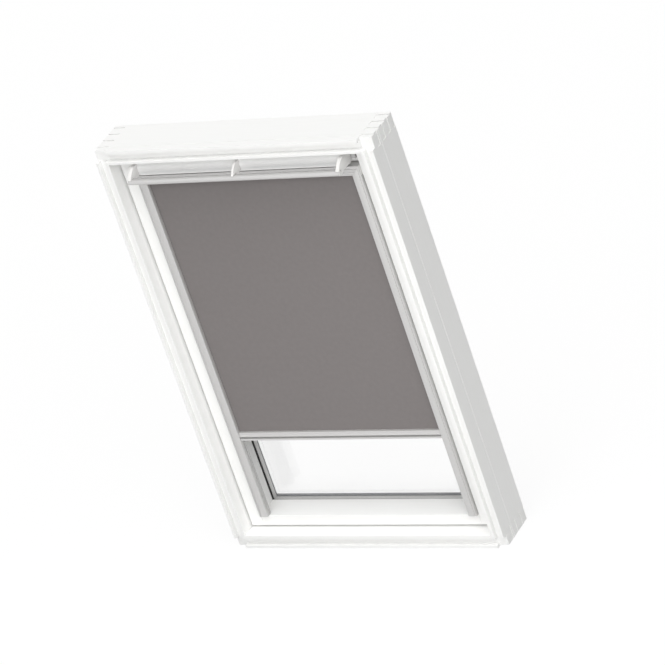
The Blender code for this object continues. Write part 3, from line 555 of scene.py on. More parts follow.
def turned(section, centre, axis, sides):
    """A section of (distance along the axis h, radius r) spun round a line: the point at angle t is
    centre + h a + r (cos t u + sin t v), where u and v are square to the axis a."""
    section = np.asarray(section, float)
    a = np.asarray(axis, float)
    u = np.roll(a, 1)
    v = np.cross(a, u)
    t = np.linspace(0, 2 * math.pi, sides, endpoint=False)
    round_it = np.cos(t)[:, None] * u + np.sin(t)[:, None] * v
    along = section[:, 0][:, None, None] * a
    return np.asarray(centre, float) + along + section[:, 1][:, None, None] * round_it[None]


outline = [(0, 0), (1, 0), (1, 1), (0, 1)]
print("a square outline with eased corners has", len(eased(outline, 0.1)), "points")

# %% [markdown]
# Many pieces fill the box of their solid from end to end. One function reads that box. One makes a
# piece that carries an outline along it, and one a moulded sleeve with a bore. Round parts of an
# outline are arcs.

# %% Pieces that fill a solid's box
sleeve_ease = 0.0006


def arc(centre_y, centre_z, radius, angles):
    """(Y, Z) round a centre: r cos t in Y and r sin t in Z."""
    return np.stack([centre_y + radius * np.cos(angles), centre_z + radius * np.sin(angles)], axis=-1)


def box_of(node):
    """Lowest and highest corner of a CAD node, as arrays."""
    low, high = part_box(node)
    return np.array(low), np.array(high)


def fit_extrusion(node, word, outline, axis, finish, body):
    """A piece that carries an outline along an axis, from one end of a solid's box to the other."""
    low, high = (corner["XYZ".index(axis)] for corner in box_of(node))
    return fit_new(node, word, finish, body, surface(extruded(outline, axis, low, high)))


def fit_sleeve(node, word, centre, bore, sides, body):
    """A moulded sleeve as long and as wide as a solid, spun round a line along X."""
    low, high = box_of(node)
    radius = (high[2] - low[2]) / 2
    mouths = [(low[0], bore), (low[0], radius), (high[0], radius), (high[0], bore)]
    sleeve = turned(eased(mouths, sleeve_ease), centre, (1, 0, 0), sides)
    return fit_new(node, word, moulded_abs, body, surface(sleeve, along=True))


print("sleeves have mouths eased by", sleeve_ease * 1000, "mm")

# %% [markdown]
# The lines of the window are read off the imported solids: the frame's inner faces, the sash, the
# opening that the glass fills, and the three axes. Pieces made below share them, so that neighbours
# meet exactly.

# %% Lines of the window
side_low, side_high = box_of("frame_side_right")
head_low, head_high = box_of("frame_head")
stile_low, stile_high = box_of("sash_stile_right")

half_width = side_high[0]
inner_x = side_low[0]
frame_top = head_high[2]
head_z = head_low[2]
sill_z = box_of("frame_sill")[1][2]
lip_front = side_low[1]
lip_projection = 0.013
frame_front = lip_front + lip_projection
sash_x = stile_high[0]
reveal_x = stile_low[0]
reveal_low = box_of("sash_bottom_rail")[1][2]
reveal_high = box_of("sash_top_rail")[0][2]

hinge = {joint["name"]: joint["pos_m"] for joint in frame["joints"] if joint["type"] == "hinge"}
pivot_y, pivot_z = hinge["sash_pivot"][1:]
flap_y, flap_z = hinge["control_bar_hinge"][1:]
roller_y, roller_z = hinge["roller_spin"][1:]
print("openings of frame and glass in mm:", round(2 * inner_x * 1000), round(2 * reveal_x * 1000))

# %% [markdown]
# The eight timber pieces are joined by box joints: fingers of the head and sill fill the spaces
# between fingers of the sides. The solids hold that shape exactly, so each board is a merged copy
# of its solid. Planed and lacquered timber has soft edges, and these edges are what the light
# draws. A Bevel gives them, weighted so that the long edges are full and the finger joints fine.

# %% Copies of solids with soft edges
timber_ease = 0.0014
long_share = 0.65
fine_share = 0.33
flat_angle = math.radians(1)
# How close counts as on a line or a face, coarsely and finely
near, hair = 0.001, 0.0001
# Edges of the pivot's pocket lie this close to the pivot's height and are shorter than this
pocket_half, pocket_edge = 0.06, 0.11
short_edge = 0.02
# Places of the groove and the scored line are measured back from the frame's front
groove_place, groove_reach = 0.0360, 0.0035
line_place, line_width = 0.0095, 0.0014


def merged_copy(node):
    """A copy of a CAD node with doubled corners merged and flat neighbours joined."""
    shape = bmesh.new()
    shape.from_mesh(frame["nodes"][node].data)
    bmesh.ops.remove_doubles(shape, verts=shape.verts, dist=merge_distance)
    bmesh.ops.dissolve_limit(shape, angle_limit=flat_angle, verts=shape.verts, edges=shape.edges)
    return shape


def board_share(middle, length):
    """How much of the full rounding an edge gets, from its middle and its length."""
    in_lip = middle.y < frame_front + near
    in_joint = abs(middle.x) > inner_x - near and not sill_z < middle.z < head_z
    in_groove = abs(middle.y - frame_front - groove_place) < groove_reach
    in_line = abs(middle.y - frame_front - line_place - line_width / 2) < line_width
    in_pocket = abs(middle.z - pivot_z) < pocket_half and length < pocket_edge
    if in_groove or (in_line and middle.z > frame_top - near):
        return 0.0
    if in_pocket or (in_joint and not in_lip) or (length < short_edge and not in_lip):
        return fine_share
    return long_share


def eased_copy(node, finish, body, width, share=None, segments=2, details=()):
    """A merged copy whose outer edges are rounded, each by its share of the width. A copy with
    details is shaded flat, so that no soft stripe spreads beside them."""
    shape = merged_copy(node)
    for detail in details:
        detail(shape)
    weights = shape.edges.layers.float.new("bevel_weight_edge")
    for edge in shape.edges:
        if len(edge.link_faces) == 2 and edge.is_convex and edge.calc_face_angle(0.0) > crisp_angle:
            middle = (edge.verts[0].co + edge.verts[1].co) / 2
            edge[weights] = share(middle, edge.calc_length()) if share else 1.0
    mesh = shaded(shape, bpy.data.meshes.new(node + "_eased"))
    if details:
        mesh.shade_flat()
    piece = fit(node + "_eased", mesh, finish, body, node)
    soften(piece, width, segments).modifiers["eased_edges"].limit_method = "WEIGHT"
    return piece


print("edges of a board are rounded by", timber_ease, "m times a share of", long_share, "or", fine_share)

# %% [markdown]
# Lacquer doesn't quite close a joint, so each finger keeps a hairline beside it. A fine line is
# scored along the head. The long groove outside each side becomes a notch whose far wall slopes,
# because that wall then faces the light and shows as a thin line.

# %% Timber boards
groove_near = 0.0345
groove_depth = 0.0030
# The groove's floor in the solid lies between these depths
floor_least, floor_most = 0.0003, 0.0040
joint_gap = 0.0007
line_sink = 0.0014
square_on = 0.99
# A face that points up is the head's top if it lies this far above the opening
top_rise = 0.01


def sloped_groove(shape):
    """Makes the long groove a notch: a square near wall, and a far wall that slopes at 45 degrees."""
    for corner in shape.verts:
        depth = half_width - abs(corner.co.x)
        in_groove = abs(corner.co.y - frame_front - groove_place) < groove_reach
        if in_groove and floor_least < depth < floor_most:
            on_far_wall = corner.co.y > frame_front + groove_place
            corner.co.x = math.copysign(half_width - groove_depth, corner.co.x)
            corner.co.y = frame_front + groove_near + (hair if on_far_wall else 0.0)


def open_joints(shape):
    """Moves the faces beside each finger of a side away from it by the joint's gap."""
    sunk, moves = frame_top / 2, {}
    for face in shape.faces:
        middle = face.calc_center_median()
        outside = abs(middle.x) > inner_x + near and middle.y > frame_front + near
        shoulder = abs(abs(middle.x) - inner_x) < hair and abs(face.normal.x) > square_on
        if outside and face.normal.y < -square_on:
            for corner in face.verts:
                moves.setdefault(corner, Vector()).y = joint_gap
        elif shoulder:
            for corner in face.verts:
                if abs(corner.co.z - sunk) > sunk - hair:
                    moves.setdefault(corner, Vector()).x = -math.copysign(joint_gap, middle.x)
    for corner, move in moves.items():
        corner.co += move


def score_line(shape):
    """Cuts a board's top along three lines a short way apart, and sinks the middle one."""
    for y in (line_place, line_place + line_width / 2, line_place + line_width):
        tops = [
            face for face in shape.faces
            if face.normal.z > square_on and face.calc_center_median().z > head_z + top_rise
        ]
        cut = tops + list({part for face in tops for part in (*face.edges, *face.verts)})
        bmesh.ops.bisect_plane(
            shape, geom=cut, dist=merge_distance, plane_co=(0, frame_front + y, 0), plane_no=(0, 1, 0)
        )
    line_y = frame_front + line_place + line_width / 2
    for corner in shape.verts:
        if abs(corner.co.y - line_y) < hair / 2 and corner.co.z > frame_top - hair:
            corner.co.z -= line_sink


boards = (
    (("frame_side_left", "frame_side_right"), pine_upright, "frame", (sloped_groove,)),
    (("frame_head",), pine_level, "frame", (open_joints, score_line)),
    (("frame_sill",), pine_level, "frame", (open_joints,)),
    (("sash_stile_left", "sash_stile_right"), pine_upright, "sash", ()),
    (("sash_bottom_rail", "sash_top_rail"), pine_level, "sash", ()),
)
for nodes, finish, body, cuts in boards:
    for node in nodes:
        eased_copy(node, finish, body, timber_ease, board_share, 3, cuts)
print("eight boards with long edges rounded by", round(timber_ease * long_share * 1000, 1), "mm")

# %% [markdown]
# Pivot and end plates, striker, lock, brackets, clips, bolts and glides are small pressed or
# moulded parts. Their solids have the right shape, so each is a merged copy without its burrs.

# %% Small metal and plastic parts
small_parts = (
    (("frame_pivot_left", "frame_pivot_right"), zinc_steel, "frame", 0.0004),
    (("striker_plate",), zinc_steel, "frame", 0.0003),
    (("sash_pivot_left", "sash_pivot_right", "lock_case"), zinc_steel, "sash", 0.0004),
    (("flap_bracket_left", "flap_bracket_right"), grey_powder, "sash", 0.0006),
    (("casing_end_left", "casing_end_right"), moulded_abs, "sash", 0.0003),
    (("casing_clip_left", "casing_clip_right"), zinc_steel, "sash", 0.0002),
    (("lock_bolt",), zinc_steel, "lock_bolt", 0.0012),
    (("barrel_bolt",), zinc_steel, "barrel_bolt", 0.0006),
    (("blind_glide_left", "blind_glide_right"), moulded_abs, "blind_bottom", 0.0005),
)
for nodes, finish, body, width in small_parts:
    for node in nodes:
        eased_copy(node, finish, body, width)
print(sum(len(part[0]) for part in small_parts), "small parts with their edges broken")

# %% [markdown]
# Two bushes in the right side take the cleaning bolt. A bush is a moulded sleeve with a rounded
# mouth, so a small section is spun round the bolt's line.

# %% Bolt bushes
bush_bore = 0.0045
for node in ("bolt_bush_upper", "bolt_bush_lower"):
    low, high = box_of(node)
    fit_sleeve(node, "sleeve", (low + high) / 2 * (0, 1, 1), bush_bore, 32, "frame")
print("bushes are bored", 2 * bush_bore * 1000, "mm wide")

# %% [markdown]
# Rubber and glazing parts run round a rectangle. The weather seal in the frame gap is a soft bulb on
# a flat foot. The gasket under the glass is a thin strip with a rounded lip that shows at the edge
# of the opening. Between the panes lies an aluminium spacer, stuck to each pane with black butyl.

# %% Seals, gasket and spacer
seal_low, seal_high = box_of("frame_seal")
seal_reach = 0.0022
seal_foot = 0.35
seal_y = (seal_low[1] + seal_high[1]) / 2
seal_half = (seal_high[1] - seal_low[1]) / 2
bulb = np.linspace(-1, 1, 13)
seal_rise = seal_reach * (seal_foot + (1 - seal_foot) * np.sqrt(1 - bulb**2))
seal_section = np.stack([-seal_rise, seal_y + seal_half * bulb], axis=-1)
seal_section = np.concatenate([[(0.0, seal_y - seal_half)], seal_section, [(0.0, seal_y + seal_half)]])
seal = surface(ringed(seal_high[0], seal_low[2], seal_high[2], seal_section), along=True)
fit_new("frame_seal", "bulb", epdm_rubber, "frame", seal)


def strip_section(start, end, inset, width):
    """Corners of a strip between two depths, set back from the opening's edge."""
    return [(inset, start), (width, start), (width, end), (inset, end)]


def round_glass(section, show, sink):
    """A section carried round the glass. It shows inside the opening at the sides and the top, and
    sinks below its edge at the bottom."""
    opening = (reveal_x - show, reveal_low - sink, reveal_high - show)
    return surface(ringed(*opening, section), along=True)


gasket_low, gasket_high = box_of("glazing_gasket")
gasket_show = 0.002
gasket_sink = 0.0005
gasket_width = 0.0115
strip = eased(strip_section(gasket_low[1], gasket_high[1], 0.0, gasket_width), 0.0004)
gasket = round_glass(strip, gasket_show, gasket_sink)
fit_new("glazing_gasket", "strip", epdm_rubber, "sash", gasket)

spacer_low, spacer_high = box_of("glass_spacer")
spacer_show = 0.0026
spacer_sink = 0.0035
spacer_width = spacer_high[0] - (reveal_x - spacer_show)
butyl_depth = 0.0004
butyl_sink = 0.0001
bar = strip_section(spacer_low[1] + butyl_depth, spacer_high[1] - butyl_depth, 0.0, spacer_width)
spacer = round_glass(eased(bar, 0.0008), spacer_show, spacer_sink)
fit_new("glass_spacer", "bar", anodised_upright, "sash", spacer)
beads = (
    ("butyl_bead_inner", spacer_low[1], spacer_low[1] + butyl_depth),
    ("butyl_bead_outer", spacer_high[1] - butyl_depth, spacer_high[1]),
)
for name, start, end in beads:
    section = strip_section(start, end, butyl_sink, spacer_width)
    bead = round_glass(section, spacer_show, spacer_sink)
    fit(name, mesh_of(name, bead), butyl, "sash", "glass_spacer")
print("spacer is", round((spacer_high[1] - spacer_low[1]) * 1000, 1), "mm deep between the panes")

# %% [markdown]
# The panes are flat sheets with ground edges that the sash hides. Their solids are right as they
# are, so they only get the glass finish.

# %% Glass panes
for node in ("glass_pane_inner", "glass_pane_outer"):
    pane = frame["nodes"][node]
    pane.data.materials.clear()
    pane.data.materials.append(float_glass)
print("two panes of float glass")

# %% [markdown]
# Outside, folded strips of lacquered aluminium cover the timber and hold the glass. Each is an
# extrusion of a thin outline, with the small radius that a folding machine leaves. A frame cover
# has a fold at its inner edge, a sash cover a raised bead at its outer edge.

# %% Outside covers
cover = 0.0015
fold = 0.006
bead_rise = 0.002
sheet_ease = 0.0006


def cover_outline(inner, outer, step, base, outer_rise, inner_rise):
    """Outline as (across, depth): a strip from the inner to the outer edge, whose thickness changes
    at a step."""
    high_outer, high_inner = base + outer_rise, base + inner_rise
    outer_part = [(inner, base), (outer, base), (outer, high_outer), (step, high_outer)]
    return eased([*outer_part, (step, high_inner), (inner, high_inner)], sheet_ease)


places = (("left", "Z", 0, -1), ("right", "Z", 0, 1), ("bottom", "X", 2, -1), ("top", "X", 2, 1))
for body in ("frame", "sash"):
    for word, axis, across, turn in places:
        node = f"{body}_cover_{word}"
        low, high = box_of(node)
        inner, outer = (low[across], high[across]) if turn > 0 else (high[across], low[across])
        if body == "frame":
            outline = cover_outline(inner, outer, inner + turn * cover, low[1], cover, fold)
        else:
            step = outer - turn * 2 * cover
            outline = cover_outline(inner, outer, step, low[1], cover + bead_rise, cover)
        outline = outline if axis == "Z" else outline[:, ::-1]
        fit_extrusion(node, "strip", outline, axis, grey_lacquer, body)
print("eight folded covers,", cover * 1000, "mm thick")

# %% [markdown]
# The ventilation flap is a curved shell that turns about its own middle line. Points on it lie at a
# fixed radius from that line, so its section is two arcs joined at their ends.

# %% Ventilation flap
flap_radius = 0.032
flap_thickness = 0.0025
flap_top = math.radians(36)
flap_bottom = math.radians(-27)


def round_flap(radius, angles):
    """(Y, Z) at an angle above the room side: the axis, less r cos a in Y, plus r sin a in Z."""
    return np.stack([flap_y - radius * np.cos(angles), flap_z + radius * np.sin(angles)], axis=-1)


flap_angles = np.linspace(flap_top, flap_bottom, 25)
shell = np.concatenate(
    [round_flap(flap_radius, flap_angles), round_flap(flap_radius - flap_thickness, flap_angles[::-1])]
)
fit_extrusion("vent_flap", "shell", eased(shell, 0.0009, 2), "X", white_lacquer, "vent_flap_and_bar")
print("flap is curved round a line", flap_radius * 1000, "mm behind it")

# %% [markdown]
# The control bar is what the hand pulls. It is an aluminium extrusion with a round nose and a flat
# top that ends in a slot and a rear rib, and white caps close its ends.

# %% Control bar
bar_low, bar_high = box_of("control_bar")
nose_radius = 0.006
nose_y = bar_low[1] + nose_radius
nose_z = bar_low[2] + nose_radius
bar_top = nose_z + nose_radius
rib_width = 0.0030
slot_width = 0.0034
slot_sink = 0.0040
under_step = 0.0012
die_ease = 0.0004
curve_steps = 21


def bar_outline():
    """The bar's section in (Y, Z): an arc for the nose, a step back under it, then a flat back with
    a rib, and a slot before the rib."""
    t = np.linspace(math.pi / 2, math.pi * 1.28, curve_steps)
    nose = arc(nose_y, nose_z, nose_radius, t)
    rear = bar_high[1]
    under = nose_z - nose_radius
    step_y = nose[-1, 0] + under_step
    tail = [(step_y, nose[-1, 1]), (step_y + under_step, under), (rear, under), (rear, bar_top)]
    slot_y = rear - rib_width
    tail += [(slot_y, bar_top), (slot_y, bar_top - slot_sink)]
    tail += [(slot_y - slot_width, bar_top - slot_sink), (slot_y - slot_width, bar_top)]
    return np.concatenate([nose, tail])


bar = eased(bar_outline(), die_ease, 2)
fit_extrusion("control_bar", "extrusion", bar, "X", anodised_level, "vent_flap_and_bar")
for node in ("control_bar_cap_left", "control_bar_cap_right"):
    cap = fit_extrusion(node, "moulded", bar_outline(), "X", moulded_abs, "vent_flap_and_bar")
    soften(cap, 0.0005)
print("bar is", round((bar_high[0] - bar_low[0]) * 1000), "mm long")

# %% [markdown]
# Three moulded arms join bar and flap, and the end ones carry the pivot pins. Seen from the room
# they are slim curved blades. The front edge bows outwards by a half sine wave, and falls towards
# the bar by a power curve. The back follows the flap, or the hub round the pin.

# %% Arms
arm_bow = 0.005
arm_fall = 1.35
flap_gap = 0.00045
bar_gap = 0.0003
foot_reach = 0.00925
nose_share = 0.65
# Two points of an arm's back lie under the flap, at these shares of its radius and these degrees
under_shares, under_angles = np.array([0.9, 0.62]), [-27, -50]
hub_radius = 0.008


def arm_front():
    """Points from the flap's top to the bar's nose at share s: y moves straight and bows out to the
    room by a quarter of the bow, z falls by s^1.35 and bows up by sin(pi s) times the bow."""
    s = np.linspace(0, 1, curve_steps)
    start = round_flap(flap_radius + flap_gap, np.array([flap_top - math.radians(2)]))[0]
    end = np.array([nose_y - nose_radius * nose_share, bar_top + bar_gap])
    bow = np.sin(s * math.pi) * arm_bow
    y = start[0] + (end[0] - start[0]) * s - bow / 4
    z = start[1] + (end[1] - start[1]) * s**arm_fall + bow
    return np.stack([y, z], axis=-1)


low_z = nose_z - nose_radius / 2
rear_y = bar_high[1] + bar_gap
foot = [(rear_y, bar_top + bar_gap), (rear_y, low_z), (rear_y + foot_reach, low_z + nose_radius / 3)]
under_flap = round_flap(flap_radius * under_shares, np.radians(under_angles))
hub = arc(flap_y, flap_z, hub_radius, np.linspace(-math.pi / 2, math.pi * 0.45, 15))
middle_back = round_flap(flap_radius + flap_gap, np.radians(np.linspace(-16, 24, 12)))
end_arm = np.concatenate([arm_front(), foot, under_flap, hub])
middle_arm = np.concatenate([arm_front(), foot, middle_back])
for word, outline in (("left", end_arm), ("middle", middle_arm), ("right", end_arm)):
    node = "control_arm_" + word
    arm = fit_extrusion(node, "moulded", outline, "X", moulded_abs, "vent_flap_and_bar")
    soften(arm, 0.0007)
print("an end arm has", len(end_arm), "points round it, the middle arm", len(middle_arm))

# %% [markdown]
# Each side rail is an extrusion stuck to the sash. Beside the timber it has a narrow ridge and a
# groove, then a slightly crowned face, and a slot at the back takes the cloth's edge. The front
# plate is mitred to the casing, so its two shells end at different heights.

# %% Side rails
blind_low, blind_high = box_of("blind_rail_right")
rail_outer = blind_high[0]
rail_inner = blind_low[0]
rail_y = blind_low[1]
rail_back = blind_high[1]
casing_low, casing_high = box_of("casing_channel")
front_low, front_high = box_of("casing_front")
plate_y = front_high[1]
casing_z = front_low[2]
casing_top = front_high[2]
timber_gap = 0.0010
rail_edge = rail_outer - timber_gap
ridge = 0.0030
groove = 0.0030
groove_sink = 0.002
crown = 0.0008
clearance = 0.0003
fabric_thickness = 0.0004
cloth_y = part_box("blind_fabric")[0].y + fabric_thickness / 2
slot_half = 0.00125
slot_reach = 0.012
rail_ease = 0.0005
mitre_slope = (casing_top - casing_z) / (rail_outer - rail_inner)


def rail_face():
    """Front plate in (X, Y): ridge, groove, then a face y = crown u^2, with u from -1 to 1."""
    groove_x = rail_edge - ridge - groove
    u = np.linspace(-1, 1, 17)
    x = (groove_x + rail_inner) / 2 - u * (groove_x - rail_inner) / 2
    face = np.stack([x, rail_y + crown * u**2], axis=-1)
    floor_y = rail_y + groove_sink
    edge = [(rail_edge, plate_y + clearance), (rail_edge, rail_y), (rail_edge - ridge, rail_y)]
    edge += [(rail_edge - ridge, floor_y), (groove_x, floor_y)]
    return np.concatenate([edge, face, [(rail_inner, plate_y + clearance)]])


def rail_body():
    """Back shell in (X, Y): a box with a slot for the cloth in its inner side."""
    start = plate_y - clearance
    slot_x = rail_inner + slot_reach
    front_part = [(rail_edge, start), (rail_edge, rail_back), (rail_inner, rail_back)]
    slot = [(rail_inner, cloth_y + slot_half), (slot_x, cloth_y + slot_half)]
    slot += [(slot_x, cloth_y - slot_half), (rail_inner, cloth_y - slot_half)]
    return np.array([*front_part, *slot, (rail_inner, start)])


face = eased(rail_face(), rail_ease, 2)
back = eased(rail_body(), rail_ease, 2)
mitre = casing_z - clearance + (face[:, 0] - rail_inner) * mitre_slope
for word, side in (("left", -1), ("right", 1)):
    shells = [
        surface(extruded(outline * (side, 1), "Z", blind_low[2], top))
        for outline, top in ((face, mitre), (back, casing_z - clearance))
    ]
    fit_new("blind_rail_" + word, "extrusion", anodised_upright, "sash", *shells)
print("rails show a face", round((rail_outer - rail_inner) * 1000, 1), "mm wide")

# %% [markdown]
# The casing hides the roller. Its front is a ribbed aluminium strip, mitred to the rails: every
# point of its section ends where the slanting mitre line crosses its height. The channel behind it
# is folded sheet with a lip at the back.

# %% Blind casing
rib_count = 6
rib_depth = 0.0016
rib_start, rib_end = 0.15, 0.85
channel_wall = 0.001
back_lip = 0.007

pitch = (casing_top - casing_z) / rib_count
levels = casing_top - pitch * np.arange(rib_count)
inset = np.where(np.arange(rib_count, 0, -1) % 2 == 1, rib_depth, 0.0)
rib_z = np.stack([levels - pitch * rib_start, levels - pitch * rib_end], 1).ravel()
ribs = np.stack([np.repeat(rail_y + inset, 2), rib_z], axis=-1)
edge = [(plate_y, casing_z), (plate_y, casing_top), (rail_y + rib_depth, casing_top)]
casing_section = eased(np.concatenate([edge, ribs, [(rail_y + rib_depth, casing_z)]]), die_ease, 2)
mitre_x = rail_inner + (casing_section[:, 1] - casing_z) / mitre_slope
strip = surface(extruded(casing_section, "X", -mitre_x, mitre_x))
fit_new("casing_front", "ribbed", anodised_level, "sash", strip)

(y0, z0), (y1, z1) = casing_low[1:], casing_high[1:]
folded = [
    (y0, z0), (y0, z1), (y1, z1), (y1, z0), (y1 - back_lip, z0), (y1 - back_lip, z0 + channel_wall),
    (y1 - channel_wall, z0 + channel_wall), (y1 - channel_wall, z1 - channel_wall),
    (y0 + channel_wall, z1 - channel_wall), (y0 + channel_wall, z0),
]
fit_extrusion("casing_channel", "folded", eased(folded, die_ease, 2), "X", anodised_level, "sash")
print("casing front is", round((casing_top - casing_z) * 1000, 1), "mm high with", rib_count, "ribs")

# %% [markdown]
# Inside the casing the roller turns: an aluminium tube with a key groove, a plug at each end, a
# spring at one end, and the rest of the cloth wound on it as a spiral.

# %% Roller
tube_low, tube_high = box_of("roller_tube")
tube_radius = (tube_high[2] - tube_low[2]) / 2
tube_wall = 0.001
key_depth = 0.0006
key_half_angle = 0.12
plug_bore = 0.0028
t = np.linspace(0, 2 * math.pi, 72, endpoint=False)
key = key_depth * np.exp(-((t - math.pi) / key_half_angle) ** 2)
outside, inside = (
    extruded(arc(roller_y, roller_z, radius, t), "X", tube_low[0], tube_high[0])
    for radius in (tube_radius - key, tube_radius - tube_wall - key)
)
tube = surface(np.concatenate([outside, inside[::-1]]), along=True)
fit_new("roller_tube", "drawn", anodised_level, "roller", tube)

for node in ("roller_plug_idle", "roller_plug_spring"):
    fit_sleeve(node, "moulded", (0.0, roller_y, roller_z), plug_bore, 40, "roller")

wire = 0.0005
coil_radius = 0.0042
coil_pitch = 0.008
coil_turns = 14
coil_start = box_of("roller_spring")[1][0] - wire
u = np.linspace(0, coil_turns, coil_turns * 24 + 1)[:, None] * 2 * math.pi
v = np.linspace(0, 2 * math.pi, 8, endpoint=False)[None, :]
away = coil_radius + wire * np.cos(v)
helix = np.stack(
    [
        coil_start - coil_pitch * u / (2 * math.pi) + wire * np.sin(v),
        roller_y + away * np.cos(u),
        roller_z + away * np.sin(u),
    ],
    axis=-1,
)
fit_new("roller_spring", "coil", zinc_steel, "roller", surface(helix))
print("tube is", round(2 * tube_radius * 1000, 1), "mm across")

# %% [markdown]
# Cloth is modelled as one sheet in two pieces that meet at the casing. The hanging piece is
# stretched flat between roller and bottom bar. It is a grid with only two rows, and Solidify gives
# it its 0.4 mm. The rest is the spiral on the tube: at angle t its inner side has the radius
# r0 + p t / 2 pi.

# %% Cloth
fabric_low, fabric_high = box_of("blind_fabric")
cloth_columns = 149
x = np.linspace(fabric_low[0], fabric_high[0], cloth_columns)
z = np.array([[fabric_high[2]], [fabric_low[2]]])
cloth_grid = np.stack(np.broadcast_arrays(x[None, :], cloth_y, z), axis=-1)


def lay_flat(mesh, on_flat):
    """Writes the place of each vertex on the flat cloth, in metres, as the mesh's UV map."""
    corner = np.zeros(len(mesh.loops), np.int32)
    mesh.loops.foreach_get("vertex_index", corner)
    mesh.uv_layers.new(name="flat_cloth").data.foreach_set("uv", on_flat[corner].ravel())


points, faces = surface(cloth_grid, around=False)
cloth_mesh = bpy.data.meshes.new("blind_cloth")
cloth_mesh.from_pydata(points.tolist(), [], faces)
lay_flat(cloth_mesh, np.stack([points[:, 0], fabric_high[2] - points[:, 2]], axis=-1))
cloth_mesh.materials.append(blackout_cloth)
cloth = new_object("blind_cloth", cloth_mesh)
thick = cloth.modifiers.new("cloth_thickness", "SOLIDIFY")
thick.thickness = fabric_thickness
thick.offset = 0.0
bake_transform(cloth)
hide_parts("blind_fabric")

wraps = 2.0
wrap_pitch = fabric_thickness
wound = 0.00036
wrap_gap = 0.00002
t = np.linspace(0, wraps * 2 * math.pi, int(wraps * 60) + 1)
inner = tube_radius + wrap_gap + wrap_pitch * t / (2 * math.pi)
inside, outside = (arc(roller_y, roller_z, radius, t + math.pi) for radius in (inner, inner + wound))
spiral = np.concatenate([outside, inside[::-1]])
roll_mesh = mesh_of("cloth_roll", surface(extruded(spiral, "X", fabric_low[0], fabric_high[0])))
place = np.zeros(len(roll_mesh.vertices) * 3)
roll_mesh.vertices.foreach_get("co", place)
place = place.reshape(-1, 3)
angle = np.arctan2(place[:, 2] - roller_z, place[:, 1] - roller_y)
lay_flat(roll_mesh, np.stack([place[:, 0], angle * tube_radius], axis=-1))
roll_piece = fit("cloth_roll", roll_mesh, blackout_cloth, "roller", "fabric_roll")

# %% [markdown]
# The bottom bar closes the cloth and is the handle of the blind. It is an extrusion whose front has
# a flat band, a raised band, a deep groove for the fingers and a foot.

# %% Bottom bar
bottom_low, bottom_high = box_of("blind_bar")
# How far each point lies behind the rails' front, and how far under the top of the bar
bar_front = [
    (0.0060, 0.0), (0.0050, 0.0010), (0.0050, 0.0070), (0.0025, 0.0085), (0.0025, 0.0110),
    (0.0115, 0.0115), (0.0115, 0.0165), (0.0035, 0.0175), (0.0030, 0.0220),
]
front = np.array([(rail_y + inset, bottom_high[2] - drop) for inset, drop in bar_front])
section = np.concatenate([[(bottom_high[1], bottom_high[2])], front, [(bottom_high[1], bottom_low[2])]])
fit_extrusion("blind_bar", "extrusion", eased(section, 0.0006), "X", anodised_level, "blind_bottom")
print("bottom bar is", round((bottom_high[2] - bottom_low[2]) * 1000), "mm high")

# %% [markdown]
# A strip of foam behind the flap filters the air. It is cut from a block, so it is a rounded bar
# whose faces swell and sink a little along its length, as open foam does.

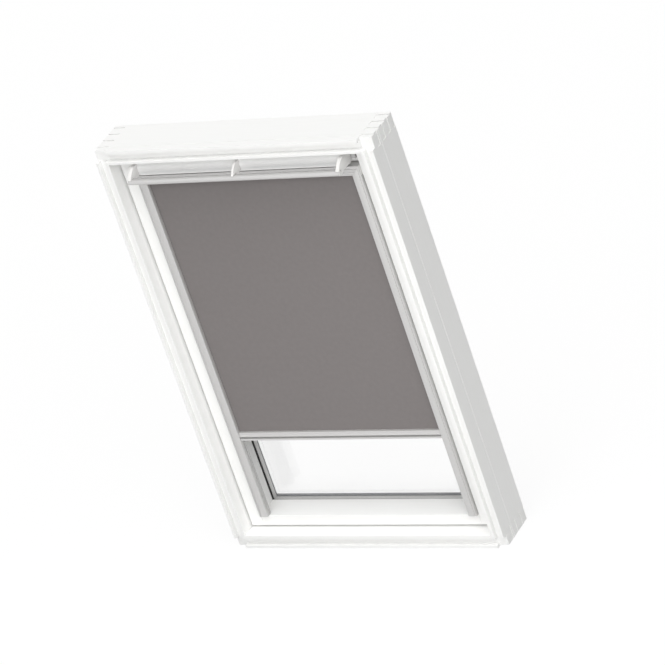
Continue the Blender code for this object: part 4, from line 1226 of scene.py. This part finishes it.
# %% Air filter
swell_mean, swell_depth, swell_waves = 0.97, 0.025, (90, 37)
end_share = 0.86
filter_low, filter_high = box_of("air_filter")
(y0, z0), (y1, z1) = filter_low[1:], filter_high[1:]
outline = eased([(y0, z0), (y1, z0), (y1, z1), (y0, z1)], 0.0018, 4)
centre = np.array([(y0 + y1) / 2, (z0 + z1) / 2])
stations = np.linspace(filter_low[0], filter_high[0], 121)
waves = np.sin(stations * swell_waves[0]) * np.sin(stations * swell_waves[1])
swell = swell_mean - swell_depth * waves
swell[[0, -1]] *= end_share
rounded = centre + (outline - centre)[None] * swell[:, None, None]
along = np.broadcast_to(stations[:, None, None], rounded.shape[:2] + (1,))
foam_grid = np.concatenate([along, rounded], axis=-1)
foam = fit_new("air_filter", "foam", filter_foam, "sash", surface(foam_grid))
print("filter is", round((filter_high[0] - filter_low[0]) * 1000), "mm long")

# %% [markdown]
# Screws hold the pivot plates and the covers, and only their heads show. A head is a low dome with
# a drive hole: one small section spun round the screw's line. All heads on one body are one piece.

# %% Screws
# Height and distance from the line, both in head radii
head_section = np.array([
    (-0.4, 0.0), (-0.4, 1.0), (0.06, 1.0), (0.2, 0.85),
    (0.3, 0.45), (0.1, 0.34), (-0.3, 0.3), (-0.3, 0.0),
])


def screw_heads(name, body, heads):
    """Heads at (place, outward axis, radius in metres), each with the section above."""
    domes = [surface(turned(head_section * radius, *rest, 20)) for *rest, radius in heads]
    return fit(name, mesh_of(name, *domes), zinc_steel, body)


screw_radius = 0.0032
plate_across, plate_up = 0.014, 0.040
frame_cover_heights = (0.12, 0.45, 0.73, 1.06)
sash_cover_heights = (0.14, 0.40, 0.78, 1.04)
cover_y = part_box("frame_cover_left")[0].y + cover
sash_cover_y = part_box("sash_cover_left")[0].y + cover
plate_face = inner_x + clearance
sash_plate = sash_x - clearance
frame_heads, sash_heads = [], []
for side in (-1, 1):
    for y in (pivot_y - plate_across, pivot_y + plate_across):
        for z in (pivot_z - plate_up, pivot_z + plate_up):
            frame_heads.append(((side * plate_face, y, z), (-side, 0, 0), screw_radius))
            sash_heads.append(((side * sash_plate, y, z), (side, 0, 0), screw_radius))
    for z in frame_cover_heights:
        frame_heads.append(((side * (inner_x + half_width) / 2, cover_y, z), (0, 1, 0), screw_radius))
    for z in sash_cover_heights:
        sash_heads.append(((side * (reveal_x + sash_x) / 2, sash_cover_y, z), (0, 1, 0), screw_radius))
screw_heads("screws_frame", "frame", frame_heads)
screw_heads("screws_sash", "sash", sash_heads)
print(len(frame_heads) + len(sash_heads), "screw heads")

# %% Sizes and the end
low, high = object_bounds()
